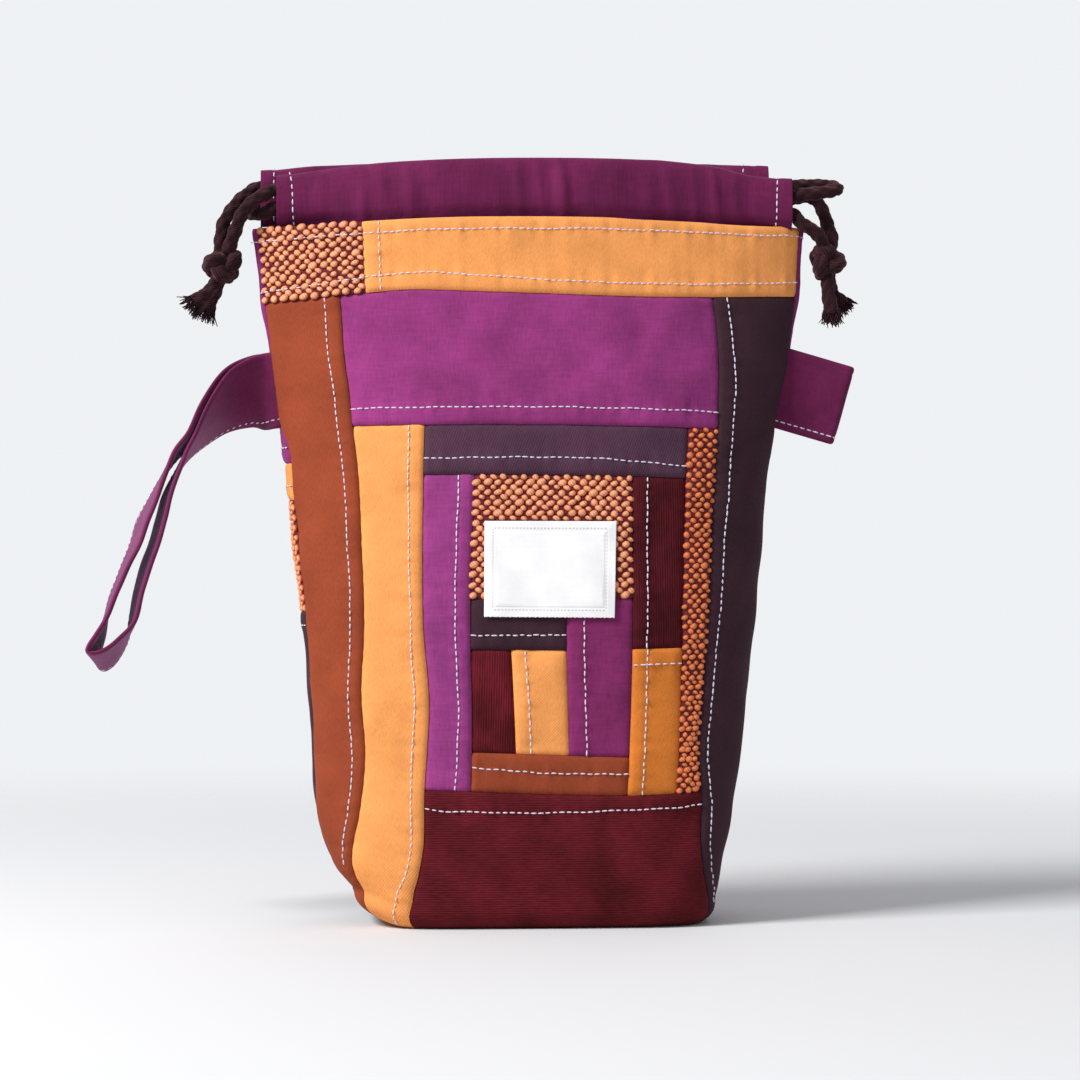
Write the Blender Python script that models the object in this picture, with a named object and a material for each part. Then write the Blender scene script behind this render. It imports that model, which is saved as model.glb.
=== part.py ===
"""Patchwork drawstring project bag with a boxed base, a wrist loop and a short loop.

Frame: metres, +Z up, the front faces -Y, the origin is on the ground under the
middle of the base. Cloth is laid on a front and a back panel. On a panel, s runs
across along the cloth from the panel's middle, and t runs up it from the ground.
"""
import math

import bmesh
import bpy
import numpy as np

MM = 0.001


def in_mm(*points):
    """Points given in millimetres, in metres."""
    return [tuple(v * MM for v in point) for point in points]


# Body: half width, half depth, sideways shift and corner squareness at each level
LEVELS = [v * MM for v in (10, 22, 44, 66, 104, 142, 179, 217, 240, 262)]
HALF_WIDTHS = [v * MM for v in (69.5, 73.5, 78.4, 80.8, 84, 87.9, 92.4, 99.2, 102.6, 104.5)]
HALF_DEPTHS = [v * MM for v in (42, 42, 40.5, 39.5, 37.5, 34.5, 30, 22.5, 18.5, 16)]
SHIFTS = [v * MM for v in (0.9, -1.8, -2.9, -1.9, -1.4, -1.7, -1.6, -0.4, -0.8, -1.1)]
CORNER_FORM = [4.6, 4.4, 4.0, 3.6, 3.2, 2.9, 2.6, 2.3, 2.2, 2.2]
END_SLOPE = [0.22, 0.23, 0.25, 0.28, 0.32, 0.37, 0.46, 0.6, 0.68, 0.72]

# Cloth and clearances
CLOTH = 1.2 * MM
LINING_CLOTH = 0.8 * MM
LINING_INSET = 2.5 * MM
LINING_TIP_INSET = 4 * MM
LINING_TIP_FROM = 140 * MM
LINING_TIP_SPAN = 80 * MM
SEAM_GAP = 0.3 * MM
PUFF = 0.5 * MM
SLUMP = 0.8 * MM
SLUMP_RISE = 40 * MM
SLUMP_TOP = 235 * MM
SLUMP_FALL = 50 * MM
SLUMP_WIDTH = 104 * MM

# Base
EDGE_RADIUS = 7 * MM
BOX_LEFT_S = -68 * MM
BOX_RIGHT_S = 64 * MM
BASE_SEAM_Y = 3 * MM
PANEL_REACH = 110 * MM
FLAT_START = EDGE_RADIUS * (1 - math.pi / 2)

# Mouth and the two cord casings
BACK_RISE = 2 * MM
CASING_HEIGHT = 20.5 * MM
CASING_DEPTH = 7 * MM
CASING_WALL = 0.6 * MM
FRONT_CASING_X = (-96 * MM, 95 * MM)
BACK_CASING_X = (-102 * MM, 90 * MM)
CASING_STEP = 12 * MM

# Cords
CORD_DIAMETER = 5 * MM
CORD_SPREAD = 3.4 * MM
KNOT_SIZE = (15 * MM, 12 * MM, 14 * MM)
KNOT_LOBE = 0.08
KNOT_GAP = 0.4 * MM

# Straps and label
STRAP_WIDTH = 28.5 * MM
STRAP_CLOTH = 1.8 * MM
STRAP_SPACE = 2.9 * MM
TAB_LENGTH = 20.5 * MM
TAB_DROOP = math.radians(16)
TAB_LEVEL = 199.5 * MM
LABEL_WIDTH = 48.5 * MM
LABEL_HEIGHT = 35 * MM
LABEL_S = 6.2 * MM
LABEL_T = 131.4 * MM
LABEL_CLOTH = 0.5 * MM
LABEL_RISE = 0.8 * MM

# Seam lines of the patchwork: (level up the panel, place across it) for upright ones
RUST_SEAM = in_mm(
    (8, -68), (17, -68.4), (30, -66), (43, -62.7), (64, -61.7), (83, -63.7),
    (113, -62.9), (135, -63.7), (166, -65), (191, -67.9), (214, -71.5), (232, -72.4),
)
PLUM_SEAM = in_mm(
    (5, 64), (17, 63.1), (31, 62.4), (44, 63.8), (64, 62.1), (84, 63.2),
    (120, 65.9), (150, 67.6), (176, 69.3), (199, 69.5), (217, 68.5), (233, 67.3),
)
GOLD_SEAM = in_mm(
    (6, -47), (13, -45.4), (20, -41.9), (33, -38.3), (79, -39.3), (113, -40.6), (184, -40.1),
)
BLOCK_SEAM = in_mm((234, -62.6), (261, -63.5))
VIOLET_STRIP_SEAM = in_mm((50, -21.7), (85, -22.8), (99, -23.5), (121, -23.5), (166, -21.5))
WEAVE_SEAM = in_mm((49, 36), (102, 36), (121, 36.3), (166, 37))
CORD_SEAM = in_mm((49, 54.8), (102, 54.9), (121, 55.4), (166, 57.5), (184, 58.5))
BAR_SEAM = in_mm((102, 11.8), (121, 11.9))
WINE_SEAM = in_mm((64, -5.9), (102, -8.6))
AMBER_SEAM = in_mm((63, 13.7), (102, 11.7))
VIOLET_PATCH_SEAM = in_mm((63, 13.7), (101.7, 11.7), (121, 11.9))
# (place across the panel, level up it) for seams that run across
BAND_SEAM = in_mm(
    (-104, 230.9), (-87, 232), (-63, 234), (-49, 235.2), (-38, 235.2),
    (10, 233.8), (40, 233.1), (70, 233.4), (104, 234.5),
)
TOP_EDGE = in_mm(
    (-104, 258.9), (-86, 259.6), (-63, 260.8), (-38, 262.1), (-12, 262.7),
    (26, 262.9), (63, 260.8), (87, 259), (106, 257.9),
)
VIOLET_SEAM = in_mm((-67, 184.2), (-30, 184.7), (0, 184.9), (32, 184.5), (59, 184), (69, 183.7))
PLUM_BAR_SEAM = in_mm((-40, 166.2), (0, 166.2), (36, 165.8), (58, 165.2))
WEAVE_LOW_SEAM = in_mm((-23, 120.8), (36, 120.8))
SMALL_BAR_SEAM = in_mm((-23, 102), (12, 101.8), (36, 101.8))
CORD_LOW_SEAM = in_mm((36, 102), (55, 102.5))
RUST_BAR_SEAM = in_mm((-22, 64.5), (-6, 64), (14, 63.2), (36, 62.4))
BASE_SEAM = in_mm((-38, 50.8), (-21, 50.3), (0, 49.3), (36, 48.5), (55, 49.1), (62, 49.9))
# Seams of the back panel
BACK_SIDE_SEAM = in_mm((5, 66), (104, 67), (179, 70), (262, 76))
BACK_VIOLET_SEAM = in_mm((-104, 171), (106, 173))
BACK_GOLD_SEAM = in_mm((-104, 157), (106, 159))
BACK_WEAVE_SEAM = in_mm((-104, 116), (106, 118))

COLOURS = {
    "violet": (0.17, 0.014, 0.105),
    "rust": (0.28, 0.07, 0.022),
    "gold": (0.72, 0.29, 0.03),
    "plum": (0.035, 0.011, 0.024),
    "wine": (0.07, 0.008, 0.012),
    "weave": (0.55, 0.13, 0.035),
    "label": (0.8, 0.79, 0.78),
    "cord": (0.035, 0.009, 0.014),
}


def empty_file():
    for obj in list(bpy.data.objects):
        bpy.data.objects.remove(obj, do_unlink=True)


def curve_through(points, at):
    """The height at `at` of a smooth line through points given as (along, height)."""
    xs = [p[0] for p in points]
    ys = [p[1] for p in points]
    last = len(xs) - 1
    at = min(max(at, xs[0]), xs[last])
    i = min(max(int(np.searchsorted(xs, at)) - 1, 0), last - 1)
    span = xs[i + 1] - xs[i]
    u = (at - xs[i]) / span

    def slope(k):
        a = max(k - 1, 0)
        b = min(k + 1, last)
        return span * (ys[b] - ys[a]) / (xs[b] - xs[a])

    rise = ys[i + 1] - ys[i]
    level = ys[i] + u * u * (3 - 2 * u) * rise
    return level + u * (1 - u) ** 2 * slope(i) - u * u * (1 - u) * slope(i + 1)


def seam(points):
    """A seam as a function of the distance along it."""
    return lambda at: curve_through(points, at)


QUARTER = np.linspace(0, math.pi / 2, 160)


def body_row(level):
    """Half width, half depth, shift, corner form and end slope of the body at a level."""
    level = max(level, LEVELS[0])
    rows = (HALF_WIDTHS, HALF_DEPTHS, SHIFTS, CORNER_FORM, END_SLOPE)
    return [curve_through(list(zip(LEVELS, row)), level) for row in rows]


def outline(half_width, half_depth, form, end):
    """A quarter of the body's cross-section from its middle to its side seam, and the run along it."""
    x = half_width * np.sin(QUARTER) ** (2 / form)
    y = half_depth * np.maximum(1 - (x / half_width) ** form, 0) ** end
    run = np.concatenate([[0], np.cumsum(np.hypot(np.diff(x), np.diff(y)))])
    return x, y, run


OUTLINES = {}


def section(level, inset=0.0):
    """The outline at a level, and the one drawn in by the rounded base edge and by an inset."""
    key = (round(level, 7), inset)
    if key not in OUTLINES:
        width, depth, shift, form, end = body_row(level)
        full = outline(width, depth, form, end)
        below = max(EDGE_RADIUS - level, 0)
        bend = EDGE_RADIUS - math.sqrt(EDGE_RADIUS**2 - below**2)
        tip = min(max((level - LINING_TIP_FROM) / LINING_TIP_SPAN, 0), 1) * LINING_TIP_INSET
        tip = tip if inset else 0.0
        drawn = outline(width - bend - inset - tip, depth - bend - inset, form, end)
        OUTLINES[key] = (full, drawn, shift)
    return OUTLINES[key]


def edge_s(t):
    """How far the side seam is from the middle of the panel, along the cloth."""
    return section(max(t, EDGE_RADIUS))[0][2][-1]


def slump(side, s, t):
    """How far the soft cloth stands out or in from the smooth body."""
    fade = min(max(t / SLUMP_RISE, 0), 1) * min(max((SLUMP_TOP - t) / SLUMP_FALL, 0), 1)
    waves = math.sin(t * 70 + side + s * 25) * math.cos(s * 38 + side * 0.7)
    return SLUMP * fade * waves * (1 - min(abs(s) / SLUMP_WIDTH, 1) ** 4)


def on_body(side, s, t, inset=0.0):
    """A point of the smooth body, or of a smaller one inside it; side is -1 for the front."""
    if t >= EDGE_RADIUS:
        level = t
    elif t > FLAT_START:
        level = EDGE_RADIUS * (1 - math.sin((EDGE_RADIUS - t) / EDGE_RADIUS))
    else:
        level = 0
    full, drawn, shift = section(level, inset)
    run = min(abs(s) / full[2][-1], 1) * drawn[2][-1]
    x = math.copysign(np.interp(run, drawn[2], drawn[0]), s) + shift
    y = side * float(np.interp(run, drawn[2], drawn[1]))
    return np.array([x, y, max(level, inset + level * (1 - inset / EDGE_RADIUS))])


def cloth_point(side, s, t, rise, inset=0.0):
    """A point at a height over the body, with the slump of the outer cloth."""
    step = 0.4 * MM
    edge = edge_s(t)
    a = max(min(s, edge - step), step - edge)
    level = max(t, FLAT_START + step)
    across = on_body(side, a + step, level, inset) - on_body(side, a - step, level, inset)
    up = on_body(side, a, level + step, inset) - on_body(side, a, level - step, inset)
    normal = np.cross(across, up) * -side
    normal /= np.linalg.norm(normal)
    if edge - abs(s) < 3 * step:
        normal[1] = 0
        normal /= np.linalg.norm(normal)
    if not inset:
        rise += slump(side, s, t)
    return on_body(side, s, t, inset) + normal * rise


def box_x(which, inset):
    """The x of a boxing seam on the base; which is -1 for the left seam and 1 for the right."""
    return on_body(-1, BOX_LEFT_S if which < 0 else BOX_RIGHT_S, FLAT_START, inset)[0]


def columns_across(coarse):
    """Places across a panel that all its pieces share, closer together at the body's corners."""
    stops = [0.0]
    while stops[-1] < PANEL_REACH:
        s = stops[-1] + 2 * MM
        step = 11 * MM if s < 44 * MM else 5.5 * MM if s < 92 * MM else 3.2 * MM
        stops.append(stops[-1] + step * coarse)
    near = 2 * MM * coarse
    corners = [BOX_LEFT_S, BOX_RIGHT_S]
    both = [-v for v in stops[:0:-1]] + stops
    return sorted([v for v in both if min(abs(v - c) for c in corners) > near] + corners)


def rows_up(coarse):
    """Levels up a panel that all its pieces share; the first ones go round the base edge."""
    bend = [FLAT_START + (EDGE_RADIUS - FLAT_START) * k / 3 for k in (1, 2, 3)]
    low = [13 * MM, 22 * MM, 33 * MM, 44 * MM, 54 * MM]
    high = [v * MM for v in range(64, 262, 15)]
    if coarse > 1.5:
        return bend + [22 * MM, 44 * MM] + high[::2]
    return bend + low + high


def add_object(name, verts, faces, colour, metallic=0.0, roughness=0.85):
    mesh = bpy.data.meshes.new(name)
    mesh.from_pydata([tuple(map(float, v)) for v in verts], [], faces)
    form = bmesh.new()
    form.from_mesh(mesh)
    bmesh.ops.recalc_face_normals(form, faces=form.faces)
    form.to_mesh(mesh)
    form.free()
    obj = bpy.data.objects.new(name, mesh)
    bpy.context.scene.collection.objects.link(obj)
    paint(obj, name, colour, metallic, roughness)
    return obj


def paint(obj, name, colour, metallic=0.0, roughness=0.85):
    material = bpy.data.materials.new("cloth_" + name)
    material.use_nodes = True
    shader = material.node_tree.nodes["Principled BSDF"]
    shader.inputs["Base Color"].default_value = (*COLOURS[colour], 1)
    shader.inputs["Roughness"].default_value = roughness
    shader.inputs["Metallic"].default_value = metallic
    obj.data.materials.append(material)


def thicken(outer, inner, faces):
    """A closed sheet from its outer and inner points and the faces of its outer side."""
    count = len(outer)
    edges = {}
    for face in faces:
        for a, b in zip(face, face[1:] + face[:1]):
            edges[(a, b)] = edges.get((a, b), 0) + 1
    rims = [(b, a, a + count, b + count) for a, b in edges if (b, a) not in edges]
    over = []
    for face in faces:
        over.append(face[:3])
        if len(face) == 4:
            over.append((face[0], face[2], face[3]))
    under = [tuple(i + count for i in reversed(face)) for face in over]
    return list(outer) + list(inner), over + under + rims


def puff_at(p, q):
    return PUFF * min(1.0, 6 * p * (1 - p)) * min(1.0, 6 * q * (1 - q))


def lay_cloth(name, side, lines, colour, inset=0.0, thick=CLOTH, coarse=1.0, puff=True):
    """A piece of cloth on a panel between its left, right, lower and upper lines.

    No left or right line means the side seam; no lower line runs it round the base edge
    to the middle seam underneath.
    """
    left, right, low, top = lines
    half_gap = SEAM_GAP / 2

    def span(t):
        a = -edge_s(t) if left is None else left(t)
        b = edge_s(t) if right is None else right(t)
        return a + half_gap, b - half_gap

    def reach(s):
        bottom = FLAT_START if low is None else low(s) + half_gap
        return bottom, top(s) - half_gap

    corner_a, corner_b = span(reach(0)[0]), span(reach(0)[1])
    inner_a, inner_b = max(corner_a[0], corner_b[0]), min(corner_a[1], corner_b[1])
    for t in np.linspace(reach(0)[0], reach(0)[1], 12):
        inner_a, inner_b = max(inner_a, span(t)[0]), min(inner_b, span(t)[1])
    spans = [reach(s) for s in np.linspace(inner_a, inner_b, 12)]
    inner_low, inner_top = max(v[0] for v in spans), min(v[1] for v in spans)
    between = [s for s in columns_across(coarse) if inner_a + 1.8 * MM < s < inner_b - 1.8 * MM]
    above = [t for t in rows_up(coarse) if inner_low + 2 * MM < t < inner_top - 2 * MM]
    columns = [None] + between + [None]
    rows = [None] + above + [None]
    outer, inner, faces, grid, places = [], [], [], {}, {}

    def add(key, point, under):
        grid[key] = len(outer)
        outer.append(point)
        inner.append(under)

    for j, row in enumerate(rows):
        for i, column in enumerate(columns):
            s = (inner_a if i == 0 else inner_b) if column is None else column
            for _ in range(6):
                t = reach(s)[0 if j == 0 else 1] if row is None else row
                if column is None:
                    s = span(t)[0 if i == 0 else 1]
            places[i, j] = (s, t)
            swell = 0.0
            if puff and low is not None:
                a, b = span(t)
                lower, upper = reach(s)
                swell = puff_at((s - a) / (b - a), (t - lower) / (upper - lower))
            under = cloth_point(side, s, t, -thick, inset)
            add((i, j), cloth_point(side, s, t, swell, inset), under)
    for j in range(len(rows) - 1):
        for i in range(len(columns) - 1):
            faces.append((grid[i, j], grid[i + 1, j], grid[i + 1, j + 1], grid[i, j + 1]))
    if low is None:
        stations = [places[i, 0][0] for i in range(len(columns))]
        run_under(side, stations, inset, thick, grid, faces, add)
    verts, all_faces = thicken(outer, inner, faces)
    return add_object(name, verts, all_faces, colour)


def run_under(side, stations, inset, thick, grid, faces, add):
    """The flap under the base between the boxing seams, and the short turns beyond them."""
    gap = SEAM_GAP / 2
    seam_y = BASE_SEAM_Y + side * gap
    columns = [(i, s, on_body(side, s, FLAT_START, inset)) for i, s in enumerate(stations)]
    left_x, right_x = box_x(-1, inset), box_x(1, inset)

    def down(point):
        return point + np.array([0, 0, inset]), point + np.array([0, 0, inset + thick])

    inside = [c for c in columns if left_x - 0.1 * MM <= c[2][0] <= right_x + 0.1 * MM]
    inside = [c for c in inside if BOX_LEFT_S - MM < c[1] < BOX_RIGHT_S + MM]
    flap_rows = (0.62, 0.3, 0.0)
    for i, _, contour in inside:
        for r, k in enumerate(flap_rows):
            x = min(max(contour[0], left_x + 0.45 * MM), right_x - 0.45 * MM)
            y = seam_y + (contour[1] - seam_y) * k
            add((i, "flap", r), *down(np.array([x, y, 0.0])))
    for (i, _, _), (k, _, _) in zip(inside, inside[1:]):
        chain_i = [grid[i, 0]] + [grid[i, "flap", r] for r in range(len(flap_rows))]
        chain_k = [grid[k, 0]] + [grid[k, "flap", r] for r in range(len(flap_rows))]
        for r in range(len(flap_rows)):
            faces.append((chain_i[r + 1], chain_k[r + 1], chain_k[r], chain_i[r]))
    for which, line, corner in ((-1, left_x, BOX_LEFT_S), (1, right_x, BOX_RIGHT_S)):
        beyond = [c for c in columns if (c[1] - corner) * which > -0.5 * MM]
        if len(beyond) < 2:
            continue
        if which > 0:
            beyond.reverse()
        for i, _, contour in beyond[:-1]:
            add((i, "turn"), *down(np.array([line + which * gap, contour[1], 0.0])))
        for (i, _, _), (k, _, _) in zip(beyond, beyond[1:]):
            face = [grid[i, 0], grid[i, "turn"]]
            if (k, "turn") in grid:
                face.append(grid[k, "turn"])
            face.append(grid[k, 0])
            faces.append(tuple(face if which < 0 else face[::-1]))


def front_patches():
    rust, plum, gold, block = map(seam, (RUST_SEAM, PLUM_SEAM, GOLD_SEAM, BLOCK_SEAM))
    violet_strip, weave, cord = map(seam, (VIOLET_STRIP_SEAM, WEAVE_SEAM, CORD_SEAM))
    bar, wine, amber = map(seam, (BAR_SEAM, WINE_SEAM, AMBER_SEAM))
    band, top, violet, plum_bar = map(seam, (BAND_SEAM, TOP_EDGE, VIOLET_SEAM, PLUM_BAR_SEAM))
    weave_low, small_bar, cord_low = map(seam, (WEAVE_LOW_SEAM, SMALL_BAR_SEAM, CORD_LOW_SEAM))
    rust_bar, base, violet_patch = map(seam, (RUST_BAR_SEAM, BASE_SEAM, VIOLET_PATCH_SEAM))
    pieces = [
        ("band_weave_block", None, block, band, top, "weave"),
        ("band_gold", block, None, band, top, "gold"),
        ("rust_side_strip", None, rust, None, band, "rust"),
        ("violet_upper_panel", rust, plum, violet, band, "violet"),
        ("plum_side_strip", plum, None, None, band, "plum"),
        ("gold_strip", rust, gold, None, violet, "gold"),
        ("plum_bar", gold, cord, plum_bar, violet, "plum"),
        ("violet_strip", gold, violet_strip, base, plum_bar, "violet"),
        ("weave_block", violet_strip, weave, weave_low, plum_bar, "weave"),
        ("wine_strip", weave, cord, cord_low, plum_bar, "wine"),
        ("gold_short_strip", weave, cord, base, cord_low, "gold"),
        ("weave_strip", cord, plum, base, violet, "weave"),
        ("plum_small_bar", violet_strip, bar, small_bar, weave_low, "plum"),
        ("wine_patch", violet_strip, wine, rust_bar, small_bar, "wine"),
        ("gold_patch", wine, amber, rust_bar, small_bar, "gold"),
        ("violet_patch", violet_patch, weave, rust_bar, weave_low, "violet"),
        ("rust_bar", violet_strip, weave, base, rust_bar, "rust"),
        ("wine_base", gold, plum, None, base, "wine"),
    ]
    for name, left, right, low, upper, colour in pieces:
        lay_cloth(name, -1, (left, right, low, upper), colour)


def back_patches():
    side_seam, violet = map(seam, (BACK_SIDE_SEAM, BACK_VIOLET_SEAM))
    gold, weave = map(seam, (BACK_GOLD_SEAM, BACK_WEAVE_SEAM))
    top = seam([(s, t + BACK_RISE) for s, t in TOP_EDGE])
    pieces = [
        ("back_violet_panel", None, side_seam, violet, top, "violet"),
        ("back_gold_strip", None, side_seam, gold, violet, "gold"),
        ("back_weave_strip", None, side_seam, weave, gold, "weave"),
        ("back_plum_base", None, side_seam, None, weave, "plum"),
        ("back_violet_side", side_seam, None, None, top, "violet"),
    ]
    for name, left, right, low, upper, colour in pieces:
        lay_cloth(name, 1, (left, right, low, upper), colour, coarse=1.2, puff=False)


def lining():
    """The lining: on each side a middle panel between the boxing seams and two side panels."""
    top = seam(TOP_EDGE)

    def left_box(t):
        return BOX_LEFT_S

    def right_box(t):
        return BOX_RIGHT_S

    for half, side in (("lining_front", -1), ("lining_back", 1)):
        panels = (("left", None, left_box), ("middle", left_box, right_box), ("right", right_box, None))
        for part, left, right in panels:
            lines = (left, right, None, top)
            lay_cloth(f"{half}_{part}", side, lines, "violet", LINING_INSET, LINING_CLOTH, 2.0, False)


def mouth_line(side, x):
    """The middle of a casing over the mouth: its depth and the level of its lower edge."""
    level = LEVELS[-1]
    width, depth, shift, form, end = body_row(level)
    share = min(abs(x - shift) / width, 1)
    reach = depth * (1 - share**form) ** end
    wave = 0.7 * MM * math.sin(x * 95 + side) * (1 - share**6)
    y = max(reach - 1.2 * MM - CASING_DEPTH / 2 + wave, CASING_DEPTH / 2 + SEAM_GAP)
    top = seam(TOP_EDGE)(x) + (BACK_RISE if side > 0 else 0)
    return side * y, top + SEAM_GAP


def casing_stations(side):
    start, end = FRONT_CASING_X if side < 0 else BACK_CASING_X
    count = round((end - start) / CASING_STEP)
    return [start + (end - start) * i / count for i in range(count + 1)]


def ring(half_depth, half_height, count=14):
    """Points of a flattened loop: (depth, height) about its middle."""
    points = []
    for i in range(count):
        a = 2 * math.pi * i / count
        c, s = math.cos(a), math.sin(a)
        y = half_depth * math.copysign(abs(c) ** (2 / 3), c)
        z = half_height * math.copysign(abs(s) ** (2 / 2.6), s)
        points.append((y, z))
    return points


def casing(name, side):
    """A flattened cloth tunnel with open ends, bent along the mouth."""
    stations = casing_stations(side)
    walls = [
        ring(CASING_DEPTH / 2, CASING_HEIGHT / 2),
        ring(CASING_DEPTH / 2 - CASING_WALL, CASING_HEIGHT / 2 - CASING_WALL),
    ]
    count = len(walls[0])
    verts, faces = [], []
    for wall in walls:
        for x in stations:
            y, low = mouth_line(side, x)
            middle = low + CASING_HEIGHT / 2
            verts += [(x, y + dy, middle + dz) for dy, dz in wall]
    size = len(stations) * count
    for w in range(2):
        for i in range(len(stations) - 1):
            for k in range(count):
                a = w * size + i * count + k
                b = w * size + i * count + (k + 1) % count
                faces.append((a, b, b + count, a + count))
    for i in (0, len(stations) - 1):
        for k in range(count):
            a = i * count + k
            b = i * count + (k + 1) % count
            faces.append((a, b, b + size, a + size))
    add_object(name, verts, faces, "violet")


def tube(name, points, colour, radii=None, diameter=CORD_DIAMETER, rounding=3):
    """A round cord along points, with closed ends."""
    curve = bpy.data.curves.new(name, "CURVE")
    curve.dimensions = "3D"
    curve.bevel_depth = diameter / 2
    curve.bevel_resolution = rounding
    curve.resolution_u = 1
    curve.use_fill_caps = True
    line = curve.splines.new("POLY")
    line.points.add(len(points) - 1)
    for i, point in enumerate(points):
        line.points[i].co = (*map(float, point), 1)
        line.points[i].radius = radii[i] if radii else 1.0
    obj = bpy.data.objects.new(name, curve)
    bpy.context.scene.collection.objects.link(obj)
    paint(obj, name, colour)
    return obj


def smooth_path(points, step):
    """A smooth line through points, with points on it about a step apart."""
    points = [np.array(p, float) for p in points]
    out = [points[0]]
    for i in range(len(points) - 1):
        a, b = points[i], points[i + 1]
        before = points[i - 1] if i else 2 * a - b
        after = points[i + 2] if i + 2 < len(points) else 2 * b - a
        count = max(1, math.ceil(np.linalg.norm(b[:3] - a[:3]) / step))
        for k in range(1, count + 1):
            u = k / count
            m0, m1 = (b - before) / 2, (after - a) / 2
            h = [2 * u**3 - 3 * u**2 + 1, u**3 - 2 * u**2 + u, 3 * u**2 - 2 * u**3, u**3 - u**2]
            out.append(h[0] * a + h[1] * m0 + h[2] * b + h[3] * m1)
    return out


def strand(side, lift):
    """A cord's middle line inside a casing, left to right."""
    line = []
    for x in casing_stations(side):
        y, low = mouth_line(side, x)
        line.append((x, y, low + CASING_HEIGHT / 2 + lift))
    return line


def spots(*points):
    return [np.array(p) for p in in_mm(*points)]


LEFT_KNOT, RIGHT_KNOT = spots((-115.8, -1, 245), (111.6, -1, 246.5))


def lobes(turn, polar):
    """How much a knot swells out at a place on it."""
    return 1 + KNOT_LOBE * math.sin(3 * turn + 2.5 * polar) * math.sin(polar)


def knot_end(knot, start):
    """Where a strand that comes from a point stops, just off the knot."""
    way = start - knot
    unit = way / np.linalg.norm(way)
    round_way = unit / (np.array(KNOT_SIZE) / 2)
    reach = 1 / np.linalg.norm(round_way)
    polar = math.acos(round_way[2] * reach)
    turn = math.atan2(round_way[1], round_way[0])
    return knot + unit * (reach * lobes(turn, polar) + KNOT_GAP)


def cords():
    """Two cords run round the mouth through both casings; each is knotted at its own side."""
    front_high, back_high = strand(-1, CORD_SPREAD), strand(1, CORD_SPREAD)
    front_low, back_low = strand(-1, -CORD_SPREAD), strand(1, -CORD_SPREAD)
    front_left = spots((-99.6, -5, 271.8), (-104, -6.8, 269), (-108.4, -6.8, 264.4), (-111, -5.4, 258.6))
    back_left = spots((-107, 3.2, 274.6), (-111, 2.6, 270), (-114.6, 1.8, 264.4), (-116.4, 1, 259.4))
    turn_right = spots(
        (100, -4, 272.6), (109, -4.6, 273.4), (114.4, -3.2, 274.6), (116, 0.4, 275.8),
        (113.6, 4, 277), (107, 5, 277.4), (98, 4.2, 276.8),
    )
    front_start = knot_end(LEFT_KNOT, front_left[-1])
    back_start = knot_end(LEFT_KNOT, back_left[-1])
    left = smooth_path([front_start] + front_left[::-1] + [front_high[0]], 3.5 * MM)
    left += front_high[1:]
    left += smooth_path([front_high[-1]] + turn_right + [back_high[-1]], 3.2 * MM)[1:]
    left += back_high[::-1][1:]
    left += smooth_path([back_high[0]] + back_left + [back_start], 3.5 * MM)[1:]
    tube("drawstring_left", left, "cord")

    front_right = spots((100.5, -4.8, 263), (105.6, -5, 260), (108.6, -4.4, 256.6))
    back_right = spots(
        (96, 4.4, 269.4), (102, 5.6, 269.2), (107.6, 5.4, 266.4), (111, 4, 261.6), (112.6, 2.4, 257),
    )
    turn_left = spots((-100, -3.4, 264.6), (-103.6, -1.8, 264.4), (-105.8, 1, 265), (-105, 3.6, 266.6))
    front_end = knot_end(RIGHT_KNOT, front_right[-1])
    back_end = knot_end(RIGHT_KNOT, back_right[-1])
    right = smooth_path([front_end] + front_right[::-1] + [front_low[-1]], 3.5 * MM)
    right += front_low[::-1][1:]
    right += smooth_path([front_low[0]] + turn_left + [back_low[0]], 3.2 * MM)[1:]
    right += back_low[1:]
    right += smooth_path([back_low[-1]] + back_right + [back_end], 3.5 * MM)[1:]
    tube("drawstring_right", right, "cord")


def knot(name, centre):
    """An overhand knot in two strands, as one lobed lump."""
    rings, turns = 9, 18
    half = [v / 2 for v in KNOT_SIZE]
    verts, faces = [], []
    for j in range(1, rings):
        polar = math.pi * j / rings
        for i in range(turns):
            turn = 2 * math.pi * i / turns
            swell = lobes(turn, polar)
            flat = math.sin(polar) * swell
            unit = (flat * math.cos(turn), flat * math.sin(turn), math.cos(polar) * swell)
            verts.append([centre[k] + half[k] * unit[k] for k in range(3)])
    for j in range(rings - 2):
        for i in range(turns):
            a, b = j * turns + i, j * turns + (i + 1) % turns
            faces.append((a, b, b + turns, a + turns))
    for pole, first in ((1, 0), (-1, (rings - 2) * turns)):
        verts.append((centre[0], centre[1], centre[2] + pole * half[2]))
        tip = len(verts) - 1
        faces += [(first + i, first + (i + 1) % turns, tip) for i in range(turns)]
    add_object(name, verts, faces, "cord")


def knots_and_ends():
    knot("knot_left", LEFT_KNOT)
    knot("knot_right", RIGHT_KNOT)
    left_front = spots((-120.5, -3, 236), (-125, -4, 232), (-129.6, -5, 228))
    left_back = spots((-119, 4, 235.5), (-121.5, 4.5, 230.5), (-123.5, 5, 224.5))
    right_front = spots((112, -3, 236.5), (112.8, -4, 231), (113, -5, 223.5))
    right_back = spots((114.6, 4, 237), (118, 4.6, 233), (121.4, 5, 229))
    ends = {
        "frayed_end_left_front": (LEFT_KNOT, left_front),
        "frayed_end_left_back": (LEFT_KNOT, left_back),
        "frayed_end_right_front": (RIGHT_KNOT, right_front),
        "frayed_end_right_back": (RIGHT_KNOT, right_back),
    }
    for name, (centre, path) in ends.items():
        points = smooth_path([knot_end(centre, path[0])] + path, 4 * MM)
        last = len(points) - 1
        flare = [1 + 0.6 * max(0, i / last - 0.45) for i in range(last + 1)]
        tube(name, points, "cord", flare)


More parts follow.
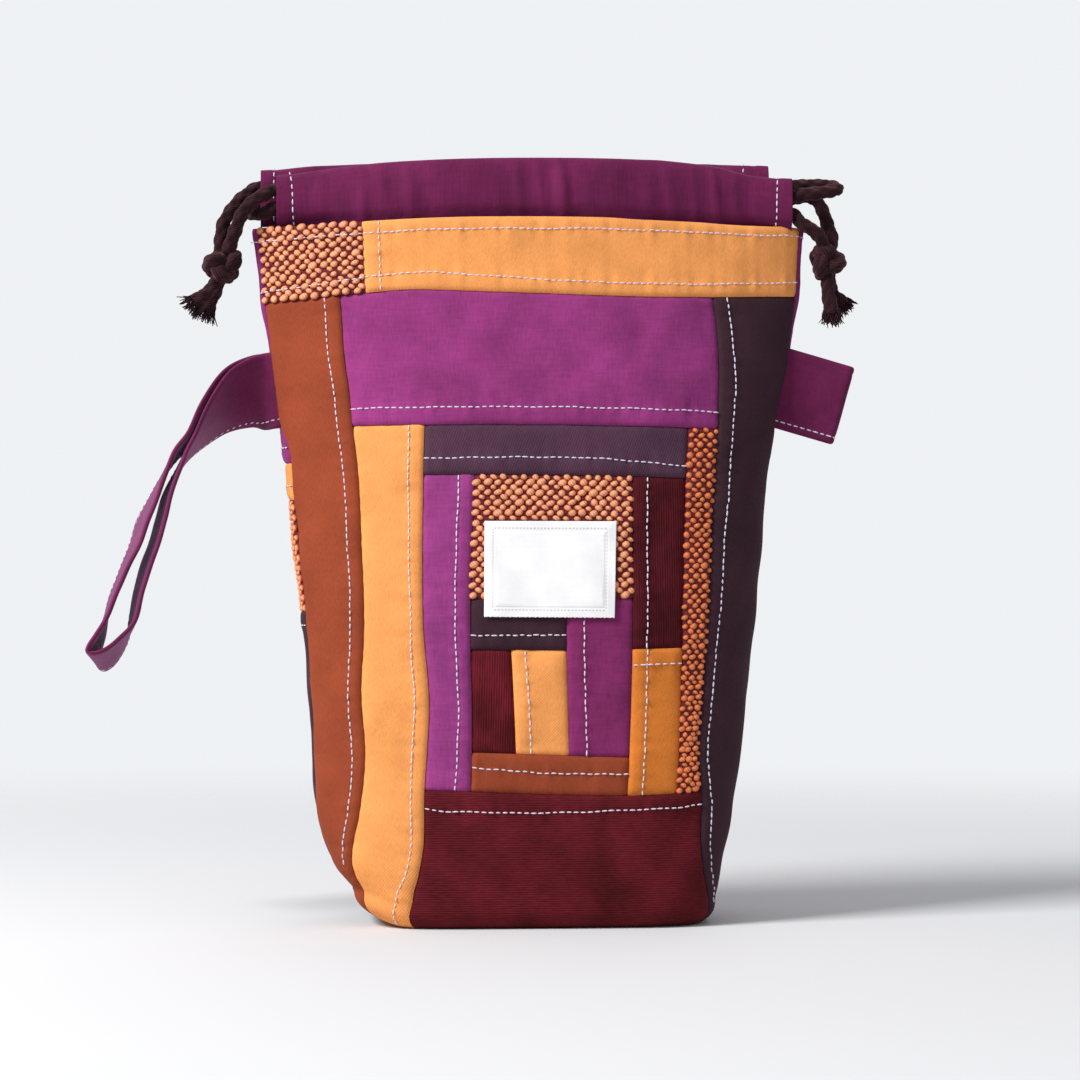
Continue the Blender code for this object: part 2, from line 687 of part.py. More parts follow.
def ribbon(name, stations, thick, colour, columns=4):
    """A flat strap through stations of (middle, edge direction), closed round its own thickness."""
    middles = [np.array(m) for m, _ in stations]
    outer, inner, faces = [], [], []
    for i, (middle, edge) in enumerate(stations):
        ahead = middles[min(i + 1, len(middles) - 1)] - middles[max(i - 1, 0)]
        ahead /= np.linalg.norm(ahead)
        wide = np.array(edge, float)
        wide /= np.linalg.norm(wide)
        flat = np.cross(ahead, wide)
        flat /= np.linalg.norm(flat)
        for k in range(columns):
            across = (k / (columns - 1) - 0.5) * STRAP_WIDTH
            outer.append(middles[i] + wide * across + flat * thick / 2)
            inner.append(middles[i] + wide * across - flat * thick / 2)
    for i in range(len(stations) - 1):
        for k in range(columns - 1):
            a = i * columns + k
            faces.append((a, a + 1, a + columns + 1, a + columns))
    verts, all_faces = thicken(outer, inner, faces)
    return add_object(name, verts, all_faces, colour)


def wrist_loop():
    """A long strap folded in half, held in the left side seam; it twists and hangs with its fold down."""
    stack = [
        ((-98.3, 0, 198.2), (-0.19, 0, 1)),
        ((-103.6, 0, 197.2), (-0.12, -0.3, 0.95)),
        ((-110.4, -0.4, 195.2), (0, -0.6, 0.8)),
        ((-118.6, -1, 188.8), (0, -0.85, 0.53)),
        ((-126, -1, 180.2), (0, -0.98, 0.2)),
    ]
    middles = spots(*(m for m, _ in stack))
    front, back = [], []
    for i, (middle, edge) in enumerate(stack):
        ahead = middles[min(i + 1, len(stack) - 1)] - middles[max(i - 1, 0)]
        ahead /= np.linalg.norm(ahead)
        wide = np.array(edge, float)
        wide -= ahead * wide.dot(ahead)
        away = np.cross(ahead, wide)
        away *= STRAP_SPACE / 2 / np.linalg.norm(away)
        front.append((middles[i] - away, wide))
        back.append((middles[i] + away, wide))
    lean = (0.2, -1, 0)
    down = [
        (-131, 171.8), (-137.6, 157.5), (-141.2, 146.2), (-144.8, 134.9), (-147.4, 125.5),
        (-149.2, 115), (-151.6, 106.4), (-155.4, 100.6), (-160, 97.6),
    ]
    up = [
        (-163.9, 98.6), (-164.4, 103.5), (-162.6, 109), (-159.9, 116), (-155.7, 125.5),
        (-151.6, 134.9), (-147, 146.2), (-142.2, 157.5), (-134.9, 172.4),
    ]
    path = front
    path += [((x * MM, 0, z * MM), lean) for x, z in down]
    path += [((x * MM, 0, z * MM), lean) for x, z in up]
    path += back[::-1]
    joined = [np.concatenate([middle, np.array(edge, float)]) for middle, edge in path]
    fine = smooth_path(joined, 6.5 * MM)
    ribbon("wrist_loop", [(v[:3], v[3:]) for v in fine], STRAP_CLOTH, "violet")


def short_loop():
    """A short strap folded over, held in the right side seam."""
    ahead = np.array([math.cos(TAB_DROOP), 0, -math.sin(TAB_DROOP)])
    edge = (math.sin(TAB_DROOP), 0, math.cos(TAB_DROOP))
    width, _, shift, _, _ = body_row(TAB_LEVEL)
    root = np.array([width + shift + 1.3 * MM, 0, TAB_LEVEL])
    radius = STRAP_SPACE / 2
    straight = TAB_LENGTH - radius
    path = []
    for k in range(4):
        path.append((root + ahead * straight * k / 3 + np.array([0, -radius, 0]), edge))
    for k in range(1, 6):
        a = math.pi * k / 6 - math.pi / 2
        turn = ahead * radius * math.cos(a) + np.array([0, radius * math.sin(a), 0])
        path.append((root + ahead * straight + turn, edge))
    for k in range(3, -1, -1):
        path.append((root + ahead * straight * k / 3 + np.array([0, radius, 0]), edge))
    ribbon("short_loop", path, STRAP_CLOTH, "violet", columns=3)


def label():
    """A bare woven label sewn on the front."""
    outer, inner, faces = [], [], []
    columns, rows = 7, 5
    for j in range(rows):
        for i in range(columns):
            s = LABEL_S + LABEL_WIDTH * (i / (columns - 1) - 0.5)
            t = LABEL_T + LABEL_HEIGHT * (j / (rows - 1) - 0.5)
            outer.append(cloth_point(-1, s, t, LABEL_RISE + LABEL_CLOTH))
            inner.append(cloth_point(-1, s, t, LABEL_RISE))
    for j in range(rows - 1):
        for i in range(columns - 1):
            a = j * columns + i
            faces.append((a, a + 1, a + columns + 1, a + columns))
    verts, all_faces = thicken(outer, inner, faces)
    add_object("label", verts, all_faces, "label", roughness=0.7)


empty_file()
front_patches()
back_patches()
lining()
casing("casing_front", -1)
casing("casing_back", 1)
cords()
knots_and_ends()
wrist_loop()
short_loop()
label()
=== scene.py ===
# %% [markdown]
# # A patchwork drawstring project bag
# The bag is sewn from cotton scraps: poplin, twill, fine corduroy and a chunky basket weave.
# It stands up, because its base is boxed and a lining stiffens it. This notebook takes the
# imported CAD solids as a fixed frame, and lays finer cloth, stitches, cords and a bare label
# exactly where those solids are.

# %% Load the frame
import math
import random

import bpy
import bmesh
import numpy as np
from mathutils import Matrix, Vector


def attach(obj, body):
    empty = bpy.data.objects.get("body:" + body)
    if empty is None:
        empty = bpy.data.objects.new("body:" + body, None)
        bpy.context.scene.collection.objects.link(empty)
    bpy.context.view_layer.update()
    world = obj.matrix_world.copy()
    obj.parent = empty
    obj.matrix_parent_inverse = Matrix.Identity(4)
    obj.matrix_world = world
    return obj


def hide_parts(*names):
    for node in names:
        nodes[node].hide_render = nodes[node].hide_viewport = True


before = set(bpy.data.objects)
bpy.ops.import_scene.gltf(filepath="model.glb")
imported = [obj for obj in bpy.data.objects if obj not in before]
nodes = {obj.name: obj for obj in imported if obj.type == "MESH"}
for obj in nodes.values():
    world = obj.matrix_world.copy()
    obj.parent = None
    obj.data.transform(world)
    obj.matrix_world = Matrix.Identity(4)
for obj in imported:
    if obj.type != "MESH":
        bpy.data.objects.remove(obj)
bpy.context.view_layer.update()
MM = 0.001
print("CAD nodes:", len(nodes))

# %% [markdown]
# ## Camera
# The bag was seen from the front, a little from its left, with the lens level with the middle
# of the bag. A long lens keeps the sides nearly straight. The small vertical shift does what
# tilting would do, without making the upright seams lean.

# %% Camera
LENS_SPOT = (-0.0835, -1.2370, 0.133)
LENS_TURN = math.radians(-4)
LENS_LENGTH = 109.6
LENS_RISE = 0.023

view = bpy.data.cameras.new("view")
view.lens = LENS_LENGTH
view.sensor_width = 36
view.shift_y = LENS_RISE
camera = bpy.data.objects.new("view", view)
camera.location = LENS_SPOT
camera.rotation_euler = (math.radians(90), 0, LENS_TURN)
bpy.context.scene.collection.objects.link(camera)
bpy.context.scene.camera = camera
print("camera at", LENS_SPOT, "lens", LENS_LENGTH)

# %% [markdown]
# ## The shape of the bag
# Cloth can't be pushed about freely: it has to lie on the body of the bag. So every place on
# a panel is named by two lengths, as a sewer would measure them with a tape: `s` runs across
# the panel from its middle, and `t` runs up it from the ground. One function turns (s, t)
# into a point in space. It could be found by shrinkwrapping onto the solid instead, but then
# seams, stitches and weave would each need their own mapping.

# %% Body outline at each level
BODY_LEVELS = (10, 22, 44, 66, 104, 142, 179, 217, 240, 262)
HALF_WIDTHS = (67.2, 72.7, 77.6, 80.2, 83.9, 87.9, 92.4, 99.2, 102.6, 104.5)
HALF_DEPTHS = (42, 42, 40.5, 39.5, 37.5, 34.5, 30, 22.5, 18.5, 16)
SHIFTS = (0.0, -2.6, -3.7, -2.5, -1.5, -1.7, -1.6, -0.4, -0.8, -1.1)
CORNER_FORM = (4.6, 4.4, 4.0, 3.6, 3.2, 2.9, 2.6, 2.3, 2.2, 2.2)
END_SLOPE = (0.22, 0.23, 0.25, 0.28, 0.32, 0.37, 0.46, 0.6, 0.68, 0.72)
EDGE_RADIUS = 7 * MM
BOX_LEFT_S = -68 * MM
BOX_RIGHT_S = 64 * MM
BASE_SEAM_Y = 3 * MM
FLAT_START = EDGE_RADIUS * (1 - math.pi / 2)
SLUMP = 0.8 * MM
LINING_INSET = 2.5 * MM


def smooth_line(points, at):
    """The height at `at` of a smooth line through (along, height) points."""
    xs, ys = np.array(points, float).T
    at = np.clip(at, xs[0], xs[-1])
    i = np.clip(np.searchsorted(xs, at) - 1, 0, len(xs) - 2)
    slope = np.empty_like(ys)
    slope[1:-1] = (ys[2:] - ys[:-2]) / (xs[2:] - xs[:-2])
    slope[0] = (ys[1] - ys[0]) / (xs[1] - xs[0])
    slope[-1] = (ys[-1] - ys[-2]) / (xs[-1] - xs[-2])
    span = xs[i + 1] - xs[i]
    u = (at - xs[i]) / span
    level = ys[i] + u * u * (3 - 2 * u) * (ys[i + 1] - ys[i])
    return level + span * (u * (1 - u) ** 2 * slope[i] - u * u * (1 - u) * slope[i + 1])


def line_mm(points):
    """A smooth line given in millimetres, as a function in metres."""
    table = [(a * MM, b * MM) for a, b in points]
    return lambda at: smooth_line(table, at)


ROW_STEP = 0.5 * MM
TABLE_ROWS = int((266 * MM - FLAT_START) / ROW_STEP)
TABLE_COLUMNS = 400


def body_table(inset):
    """Points of the body at every half millimetre up it, at even steps round it."""
    xs, ys, zs, edges, shifts = [], [], [], [], []
    quarter = np.linspace(0, math.pi / 2, 300)
    for j in range(TABLE_ROWS):
        t = FLAT_START + j * ROW_STEP
        round_edge = EDGE_RADIUS * (1 - math.sin((EDGE_RADIUS - t) / EDGE_RADIUS))
        level = t if t >= EDGE_RADIUS else round_edge
        at = max(level, BODY_LEVELS[0] * MM)
        rows = (HALF_WIDTHS, HALF_DEPTHS, SHIFTS)
        width, depth, shift = [line_mm(list(zip(BODY_LEVELS, row)))(at) for row in rows]
        form = smooth_line(list(zip(BODY_LEVELS, CORNER_FORM)), at / MM)
        end = smooth_line(list(zip(BODY_LEVELS, END_SLOPE)), at / MM)
        below = max(EDGE_RADIUS - level, 0)
        bend = EDGE_RADIUS - math.sqrt(EDGE_RADIUS**2 - below**2)
        tip = np.clip((level - 140 * MM) / (80 * MM), 0, 1) * 4 * MM if inset else 0
        runs = []
        for w, d in ((width, depth), (width - bend - inset - tip, depth - bend - inset)):
            x = w * np.sin(quarter) ** (2 / form)
            y = d * np.maximum(1 - (x / w) ** form, 0) ** end
            run = np.concatenate([[0], np.cumsum(np.hypot(np.diff(x), np.diff(y)))])
            runs.append((x, y, run))
        x, y, run = runs[1]
        even = np.linspace(0, run[-1], TABLE_COLUMNS)
        xs.append(np.interp(even, run, x))
        ys.append(np.interp(even, run, y))
        zs.append(max(level, inset + level * (1 - inset / EDGE_RADIUS)))
        edges.append(runs[0][2][-1])
        shifts.append(shift)
    return [np.array(v) for v in (xs, ys, zs, edges, shifts)]


TABLES = {inset: body_table(inset) for inset in (0.0, LINING_INSET)}
print("body table:", TABLE_ROWS, "levels")

# %% [markdown]
# The table is looked up between its rows, so any place can be asked for. The left lower corner
# stands a little off the ground, because the bag leans on the rest of its base; a short line
# gives that lift. The direction out of the cloth comes from two neighbouring places, and a
# slow wave makes the outer cloth slump a little between its seams.

# %% Places on the cloth
def side_edge(t):
    """How far the side seam is from the middle of the panel."""
    at = np.arange(TABLE_ROWS) * ROW_STEP + FLAT_START
    return np.interp(np.maximum(t, EDGE_RADIUS), at, TABLES[0.0][3])


# How far the left lower corner is off the ground, at each place across
corner_lift = line_mm((
    (-80, 6), (-72, 6.3), (-66, 5.4), (-61, 3.9), (-55, 1.7), (-50, 0.4), (-46, 0),
))
LIFT_FADE = 32 * MM


def bare_point(side, s, t, inset=0.0):
    """The point of the smooth body at (s, t); side is -1 for the front and 1 for the back.

    A place past the side edge is on the other panel, just round the corner.
    """
    xs, ys, zs, edges, shifts = TABLES[inset]
    row = np.clip((t - FLAT_START) / ROW_STEP, 0, TABLE_ROWS - 1.001)
    j = row.astype(int)
    f = row - j
    edge = edges[j] * (1 - f) + edges[j + 1] * f
    past = np.abs(s) > edge
    panel = np.where(past, -side, side)
    column = np.where(past, 2 * edge - np.abs(s), np.abs(s)) / edge * (TABLE_COLUMNS - 1.001)
    k = column.astype(int)
    g = column - k

    def mix(table):
        lower = table[j, k] * (1 - g) + table[j, k + 1] * g
        upper = table[j + 1, k] * (1 - g) + table[j + 1, k + 1] * g
        return lower * (1 - f) + upper * f

    x = np.sign(s) * mix(xs) + shifts[j] * (1 - f) + shifts[j + 1] * f
    z = zs[j] * (1 - f) + zs[j + 1] * f
    lift = corner_lift(x) * np.clip(1 - z / LIFT_FADE, 0, 1)
    return np.stack([x, panel * mix(ys), z + lift], axis=-1)


def outward(side, s, t, inset=0.0):
    """The direction that points straight out of the cloth at (s, t)."""
    step = 0.9 * MM
    b = np.maximum(t, FLAT_START + step)
    across = bare_point(side, s + step, b, inset) - bare_point(side, s - step, b, inset)
    up = bare_point(side, s, b + step, inset) - bare_point(side, s, b - step, inset)
    out = np.cross(across, up) * -side
    return out / np.linalg.norm(out, axis=-1, keepdims=True)


def slump(side, s, t):
    """The soft slump of the outer cloth, out and in from the smooth body."""
    fade = np.clip(t / (40 * MM), 0, 1) * np.clip((235 * MM - t) / (50 * MM), 0, 1)
    waves = np.sin(t * 70 + side + s * 25) * np.cos(s * 38 + side * 0.7)
    return SLUMP * fade * waves * np.maximum(1 - np.minimum(np.abs(s) / (104 * MM), 1) ** 4, 0)


def cloth_point(side, s, t, rise, inset=0.0):
    """The point at a height over the cloth's place on the body."""
    s, t = np.asarray(s, float), np.asarray(t, float)
    if not inset:
        rise = rise + slump(side, s, t)
    return bare_point(side, s, t, inset) + outward(side, s, t, inset) * np.asarray(rise)[..., None]


half_way = round(float(side_edge(np.array(0.13))) / MM, 1)
print("side seam is", half_way, "mm from the middle at half height")

# %% [markdown]
# ## Finishes
# Each cloth gets its own weave, because that is what tells the scraps apart from close by:
# poplin is a fine plain weave, twill has slanting ribs, corduroy has soft wales. The weaves
# read an attribute called `place`, which holds (s, t) for every point, so a pattern follows
# the cloth round corners. An image would repeat and blur; waves and noise stay sharp.

# %% Cloth finish helpers
VIOLET = (0.262, 0.033, 0.165)
# Painted light: the violet made lighter for the strip left of the middle, where the light falls more strongly.
VIOLET_PAINTED_LIGHT = (0.285, 0.042, 0.195)
# Painted shade: the violet made darker for the patch right of the middle, which the light reaches less.
VIOLET_PAINTED_SHADE = (0.205, 0.022, 0.112)
# Painted shade: a much darker violet for the casings, the loops and the lining, where shade falls.
VIOLET_PAINTED_DEEP_SHADE = (0.134, 0.0118, 0.063)
RUST = (0.288, 0.0575, 0.0235)
GOLD = (0.87, 0.352, 0.105)
PLUM = (0.048, 0.020, 0.031)
PLUM_LIGHT = (0.085, 0.037, 0.066)
# Painted shade: the gold darkened and made more orange for the short strip on the right, which the light reaches
# less.
GOLD_PAINTED_SHADE = (0.64, 0.195, 0.032)
WINE = (0.108, 0.0080, 0.0105)
# Painted shade: the wine darkened for the strip on the right, which the light reaches less.
WINE_PAINTED_SHADE = (0.074, 0.0062, 0.0085)
WEAVE = (1.0, 0.35, 0.16)
# Painted shade: the orange yarn darkened for the weave strip on the right, which the light reaches less.
WEAVE_PAINTED_SHADE = (0.86, 0.215, 0.07)
# The ground cloth under the nubs: a dark cloth, made darker still as painted shade between the nubs.
WEAVE_GROUND_AND_SHADE = (0.16, 0.026, 0.03)
THREAD = (0.72, 0.66, 0.78)
LABEL = (0.86, 0.855, 0.855)
CORD = (0.020, 0.0062, 0.0082)


def new_finish(name, roughness=0.85, sheen=0.25, tint=(1, 1, 1)):
    """An empty cloth material with a shader and a place to read."""
    material = bpy.data.materials.new(name)
    material.use_nodes = True
    tree = material.node_tree
    shader = tree.nodes["Principled BSDF"]
    shader.inputs["Roughness"].default_value = roughness
    shader.inputs["Specular IOR Level"].default_value = 0.12
    shader.inputs["Sheen Weight"].default_value = sheen
    shader.inputs["Sheen Roughness"].default_value = 0.5
    shader.inputs["Sheen Tint"].default_value = (*tint, 1)
    place = tree.nodes.new("ShaderNodeAttribute")
    place.attribute_name = "place"
    return material, tree, shader, place.outputs["Vector"]


def turned(tree, place, angle, stretch=(1, 1, 1)):
    """The place, turned in the plane of the cloth and stretched."""
    node = tree.nodes.new("ShaderNodeMapping")
    node.inputs["Rotation"].default_value = (0, 0, angle)
    node.inputs["Scale"].default_value = stretch
    tree.links.new(place, node.inputs["Vector"])
    return node.outputs["Vector"]


def bands(tree, place, pitch, wobble=0.0, axis="X"):
    """Even bands across the cloth, one every `pitch` metres."""
    node = tree.nodes.new("ShaderNodeTexWave")
    node.wave_type = "BANDS"
    node.bands_direction = axis
    node.inputs["Scale"].default_value = 2 * math.pi / (20 * pitch)
    node.inputs["Distortion"].default_value = wobble
    node.inputs["Detail Scale"].default_value = 3
    tree.links.new(place, node.inputs["Vector"])
    return node.outputs["Fac"]


def clouds(tree, place, size, detail=3.0, seed=0.0):
    """Soft noise whose blotches are about `size` metres."""
    node = tree.nodes.new("ShaderNodeTexNoise")
    node.noise_dimensions = "4D"
    node.inputs["Scale"].default_value = 1 / size
    node.inputs["Detail"].default_value = detail
    node.inputs["W"].default_value = seed
    tree.links.new(place, node.inputs["Vector"])
    return node.outputs["Fac"]


def ramp(tree, value, low, high, start=0.3, stop=0.7):
    """A colour that goes from low to high as the value rises."""
    node = tree.nodes.new("ShaderNodeValToRGB")
    node.color_ramp.elements[0].position = start
    node.color_ramp.elements[0].color = (*low, 1)
    node.color_ramp.elements[1].position = stop
    node.color_ramp.elements[1].color = (*high, 1)
    tree.links.new(value, node.inputs["Fac"])
    return node.outputs["Color"]


def blended(tree, share, a, b, mode="MIX"):
    """Two colours blended, by a fixed share or by a value."""
    node = tree.nodes.new("ShaderNodeMix")
    node.data_type = "RGBA"
    node.blend_type = mode
    if isinstance(share, float):
        node.inputs["Factor"].default_value = share
    else:
        tree.links.new(share, node.inputs["Factor"])
    tree.links.new(a, node.inputs[6])
    tree.links.new(b, node.inputs[7])
    return node.outputs[2]


def raised(tree, shader, heights):
    """Bumps one after the other: (value, distance in metres, strength)."""
    last = None
    for value, distance, strength in heights:
        node = tree.nodes.new("ShaderNodeBump")
        node.inputs["Distance"].default_value = distance
        node.inputs["Strength"].default_value = strength
        tree.links.new(value, node.inputs["Height"])
        if last:
            tree.links.new(last, node.inputs["Normal"])
        last = node.outputs["Normal"]
    tree.links.new(last, shader.inputs["Normal"])


def shade(colour, by):
    """A colour made lighter or darker."""
    return tuple(min(1, c * by) for c in colour)


def poplin(name, colour, seed=0.0, sheen=0.08):
    """Fine plain weave: two thread directions, slubs and a slightly washed look."""
    material, tree, shader, place = new_finish(name, 0.82, sheen, (1, 0.6, 0.98))
    fine = clouds(tree, turned(tree, place, 0, (1, 0.22, 1)), 0.75 * MM, 3, seed)
    slub = clouds(tree, turned(tree, place, 0, (0.12, 1, 1)), 1.0 * MM, 3, seed + 3)
    worn = clouds(tree, place, 15 * MM, 5, seed + 7)
    base = ramp(tree, worn, shade(colour, 0.80), shade(colour, 1.22))
    for threads in (fine, slub):
        speck = ramp(tree, threads, (0.76, 0.73, 0.76), (1.0, 1.0, 1.0), 0.3, 0.62)
        base = blended(tree, 0.6, base, speck, "MULTIPLY")
    tree.links.new(base, shader.inputs["Base Color"])
    warp = bands(tree, place, 0.5 * MM, 0.3, "X")
    weft = bands(tree, place, 0.5 * MM, 0.3, "Y")
    creases = clouds(tree, turned(tree, place, 0.3, (1, 0.6, 1)), 7 * MM, 4, seed + 5)
    raised(tree, shader, (
        (creases, 0.9 * MM, 0.6), (slub, 0.12 * MM, 0.6), (fine, 0.12 * MM, 0.6),
        (warp, 0.05 * MM, 0.35), (weft, 0.05 * MM, 0.35),
    ))
    return material


def twill(name, colour, pitch=0.85 * MM, angle=0.9, deep=0.72, seed=0.0):
    """Slanting ribs with a shadow between them."""
    material, tree, shader, place = new_finish(name, 0.88, 0.04, shade(colour, 2.0))
    ribs = bands(tree, turned(tree, place, angle), pitch, 0.6, "X")
    fibre = clouds(tree, turned(tree, place, angle + 0.5, (1, 0.3, 1)), 0.5 * MM, 3, seed)
    worn = clouds(tree, place, 17 * MM, 5, seed + 5)
    base = ramp(tree, worn, shade(colour, 0.84), shade(colour, 1.14))
    lines = ramp(tree, ribs, (deep, deep * 0.9, deep * 0.85), (1, 1, 1), 0.1, 0.6)
    base = blended(tree, 0.6, base, lines, "MULTIPLY")
    speck = ramp(tree, fibre, (0.68, 0.6, 0.55), (1, 1, 1), 0.3, 0.6)
    base = blended(tree, 0.5, base, speck, "MULTIPLY")
    tree.links.new(base, shader.inputs["Base Color"])
    creases = clouds(tree, place, 9 * MM, 4, seed + 9)
    raised(tree, shader, ((creases, 0.7 * MM, 0.5), (ribs, 0.09 * MM, 0.5), (fibre, 0.08 * MM, 0.5)))
    return material


def corduroy(name, colour, across, pitch=1.05 * MM, seed=0.0):
    """Soft wales of cut pile: the tops are lighter and the valleys painted nearly black as shade, with patches of
    painted sheen.
    """
    material, tree, shader, place = new_finish(name, 0.92, 0.12, (0.7, 0.08, 0.09))
    wales = bands(tree, place, pitch, 0.8, "Y" if across else "X")
    stretch = (0.15, 1, 1) if across else (1, 0.15, 1)
    pile = clouds(tree, turned(tree, place, 0, stretch), 0.6 * MM, 4, seed)
    brushed = clouds(tree, place, 17 * MM, 6, seed + 4)
    # Painted sheen: the light end of the brushed patches, lighter and a little bluer.
    painted_sheen = (colour[0] * 1.5, colour[1] * 1.5, colour[2] * 2.0)
    base = ramp(tree, brushed, shade(colour, 0.62), painted_sheen)
    # Painted shade in the valleys between the wales.
    lines = ramp(tree, wales, (0.5, 0.45, 0.48), (1, 1, 1), 0.05, 0.75)
    base = blended(tree, 0.4, base, lines, "MULTIPLY")
    speck = ramp(tree, pile, (0.5, 0.45, 0.45), (1, 1, 1), 0.3, 0.65)
    base = blended(tree, 0.75, base, speck, "MULTIPLY")
    tree.links.new(base, shader.inputs["Base Color"])
    raised(tree, shader, ((brushed, 0.6 * MM, 0.5), (wales, 0.2 * MM, 0.6), (pile, 0.18 * MM, 0.6)))
    return material


FINISHES = {
    "violet": poplin("violet_poplin", VIOLET),
    # Painted light: a lighter copy of the violet poplin.
    "violet_painted_light": poplin("violet_poplin_painted_light", VIOLET_PAINTED_LIGHT, 17.0),
    # Painted shade: a darker copy of the violet poplin.
    "violet_painted_shade": poplin("violet_poplin_painted_shade", VIOLET_PAINTED_SHADE, 41.0),
    # Painted shade: the violet poplin darkened for the casings and the short loop.
    "violet_painted_deep_shade": poplin("violet_poplin_painted_deep_shade", VIOLET_PAINTED_DEEP_SHADE, 23.0),
    # The wrist loop is in the same darkened violet, as painted shade, with more sheen.
    "violet_strap": poplin("violet_poplin_strap", VIOLET_PAINTED_DEEP_SHADE, 31.0, 0.3),
    "rust": twill("rust_twill", RUST, 0.7 * MM, 0.85, 0.8, 2.0),
    "gold": twill("gold_twill", GOLD, 0.8 * MM, 0.75, 0.86, 4.0),
    # Painted shade: a darker copy of the gold twill.
    "gold_painted_shade": twill("gold_twill_painted_shade", GOLD_PAINTED_SHADE, 0.8 * MM, 0.75, 0.86, 14.0),
    "plum": twill("plum_twill", PLUM, 0.9 * MM, 0.95, 0.6, 6.0),
    "plum_light": twill("plum_twill_light", PLUM_LIGHT, 0.9 * MM, 0.35, 0.55, 16.0),
    "wine_upright": corduroy("wine_corduroy_upright", WINE, False, 0.9 * MM, 1.0),
    "wine": corduroy("wine_corduroy", WINE, True, 0.85 * MM, 3.0),
    # Painted shade: a darker copy of the wine corduroy.
    "wine_painted_shade": corduroy("wine_corduroy_painted_shade", WINE_PAINTED_SHADE, False, 0.9 * MM, 13.0),
    # The ground under the nubs: dark cloth, and painted shade between the nubs.
    "ground": twill("weave_ground_and_painted_shade", WEAVE_GROUND_AND_SHADE, 1.2 * MM, 0.6, 0.5, 8.0),
    # The lining is in the same darkened violet, as painted shade inside the mouth.
    "lining": poplin("violet_lining", VIOLET_PAINTED_DEEP_SHADE, 11.0),
}
print("cloth finishes:", ", ".join(FINISHES))

# %% [markdown]
# ## Patchwork
# Each scrap is one piece of cloth between four seams. The seams are measured once, as lines,
# and neighbouring scraps share them, so nothing can gap or overlap. A boolean cut of one big
# sheet would give the same outline, but no control over how each scrap puffs up.
# Upright seams are (level, place across); seams that run across are (place across, level).

# %% Seam lines
RUST_SEAM = line_mm((
    (8, -68), (17, -68.4), (30, -66), (43, -62.7), (64, -61.7), (83, -63.7),
    (113, -62.9), (135, -63.7), (166, -65), (191, -67.9), (214, -71.5), (232, -72.4),
))
PLUM_SEAM = line_mm((
    (2, 67.5), (9, 67), (17, 65.6), (31, 64.2), (44, 64.8), (64, 62.3), (84, 63.2),
    (120, 65.9), (150, 67.6), (176, 69.8), (199, 70.3), (217, 69.5), (233, 68.2),
))
GOLD_SEAM = line_mm((
    (-4, -50.5), (6, -47.6), (13, -45.4), (20, -41.9), (33, -38.8), (60, -38.6),
    (84, -38.4), (113, -41), (184, -40.1),
))
BLOCK_SEAM = line_mm(((234, -62.6), (261, -63.5)))
VIOLET_STRIP_SEAM = line_mm(((50, -21.7), (85, -22.8), (99, -23.5), (121, -23.5), (166, -21.5)))
WEAVE_SEAM = line_mm(((49, 36), (102, 36), (121, 36.3), (166, 37)))
CORD_SEAM = line_mm(((49, 54.8), (102, 54.9), (121, 55.4), (166, 57.5), (184, 58.5)))
BAR_SEAM = line_mm(((102, 11.8), (121, 11.9)))
WINE_SEAM = line_mm(((64, -5.9), (102, -8.6)))
AMBER_SEAM = line_mm(((63, 13.7), (102, 11.7)))
VIOLET_PATCH_SEAM = line_mm(((63, 13.7), (101.7, 11.7), (121, 11.9)))
BAND_SEAM = line_mm((
    (-104, 230.9), (-87, 232), (-63, 234), (-49, 235.2), (-38, 235.2),
    (10, 233.8), (40, 233.1), (70, 233.4), (104, 234.5),
))
TOP_EDGE = line_mm((
    (-104, 258.9), (-86, 259.6), (-63, 260.8), (-38, 262.1), (-12, 262.7),
    (26, 262.7), (40, 262.1), (63, 261.4), (80, 260.7), (91, 260.6), (98, 260.8), (106, 260.3),
))
CASING_FOOT = line_mm((
    (-104, 258.9), (-86, 259.6), (-63, 260.8), (-38, 262.1), (-12, 262.7),
    (26, 262.7), (63, 260.8), (87, 259), (106, 257.9),
))
VIOLET_SEAM = line_mm((
    (-67, 184.2), (-30, 184.7), (0, 184.9), (32, 184.5), (59, 184), (69, 183.7),
))
PLUM_BAR_SEAM = line_mm(((-40, 166.2), (0, 166.2), (36, 165.8), (58, 165.2)))
WEAVE_LOW_SEAM = line_mm(((-23, 120.8), (36, 120.8)))
SMALL_BAR_SEAM = line_mm(((-23, 102), (12, 101.8), (36, 101.8)))
CORD_LOW_SEAM = line_mm(((36, 102), (55, 102.5)))
RUST_BAR_SEAM = line_mm(((-22, 64.5), (-6, 64), (14, 63.2), (36, 62.4)))
BASE_SEAM = line_mm(((-38, 50.8), (-21, 50.3), (0, 49.3), (36, 48.5), (55, 49.1), (62, 49.9)))
BACK_SIDE_SEAM = line_mm(((5, 66), (104, 67), (179, 70), (262, 76)))
BACK_VIOLET_SEAM = line_mm(((-104, 171), (106, 173)))
BACK_GOLD_SEAM = line_mm(((-104, 157), (106, 159)))
BACK_WEAVE_SEAM = line_mm(((-104, 116), (106, 118)))


# How far the side seams are pulled round to the front, at each level
LEFT_PULL = line_mm((
    (0, 14), (80, 13), (130, 12), (165, 9), (176, 8), (181, 6), (187, 1.6), (194, 0.6),
    (206, 0.6), (214, 1), (221, 1.5), (229, 2.1), (237, 2.9), (250, 3.2), (262, 2.6),
))
RIGHT_PULL = line_mm(((0, 0.8), (190, 0.8), (215, 1), (228, 1.6), (240, 2.1), (262, 2.2)))


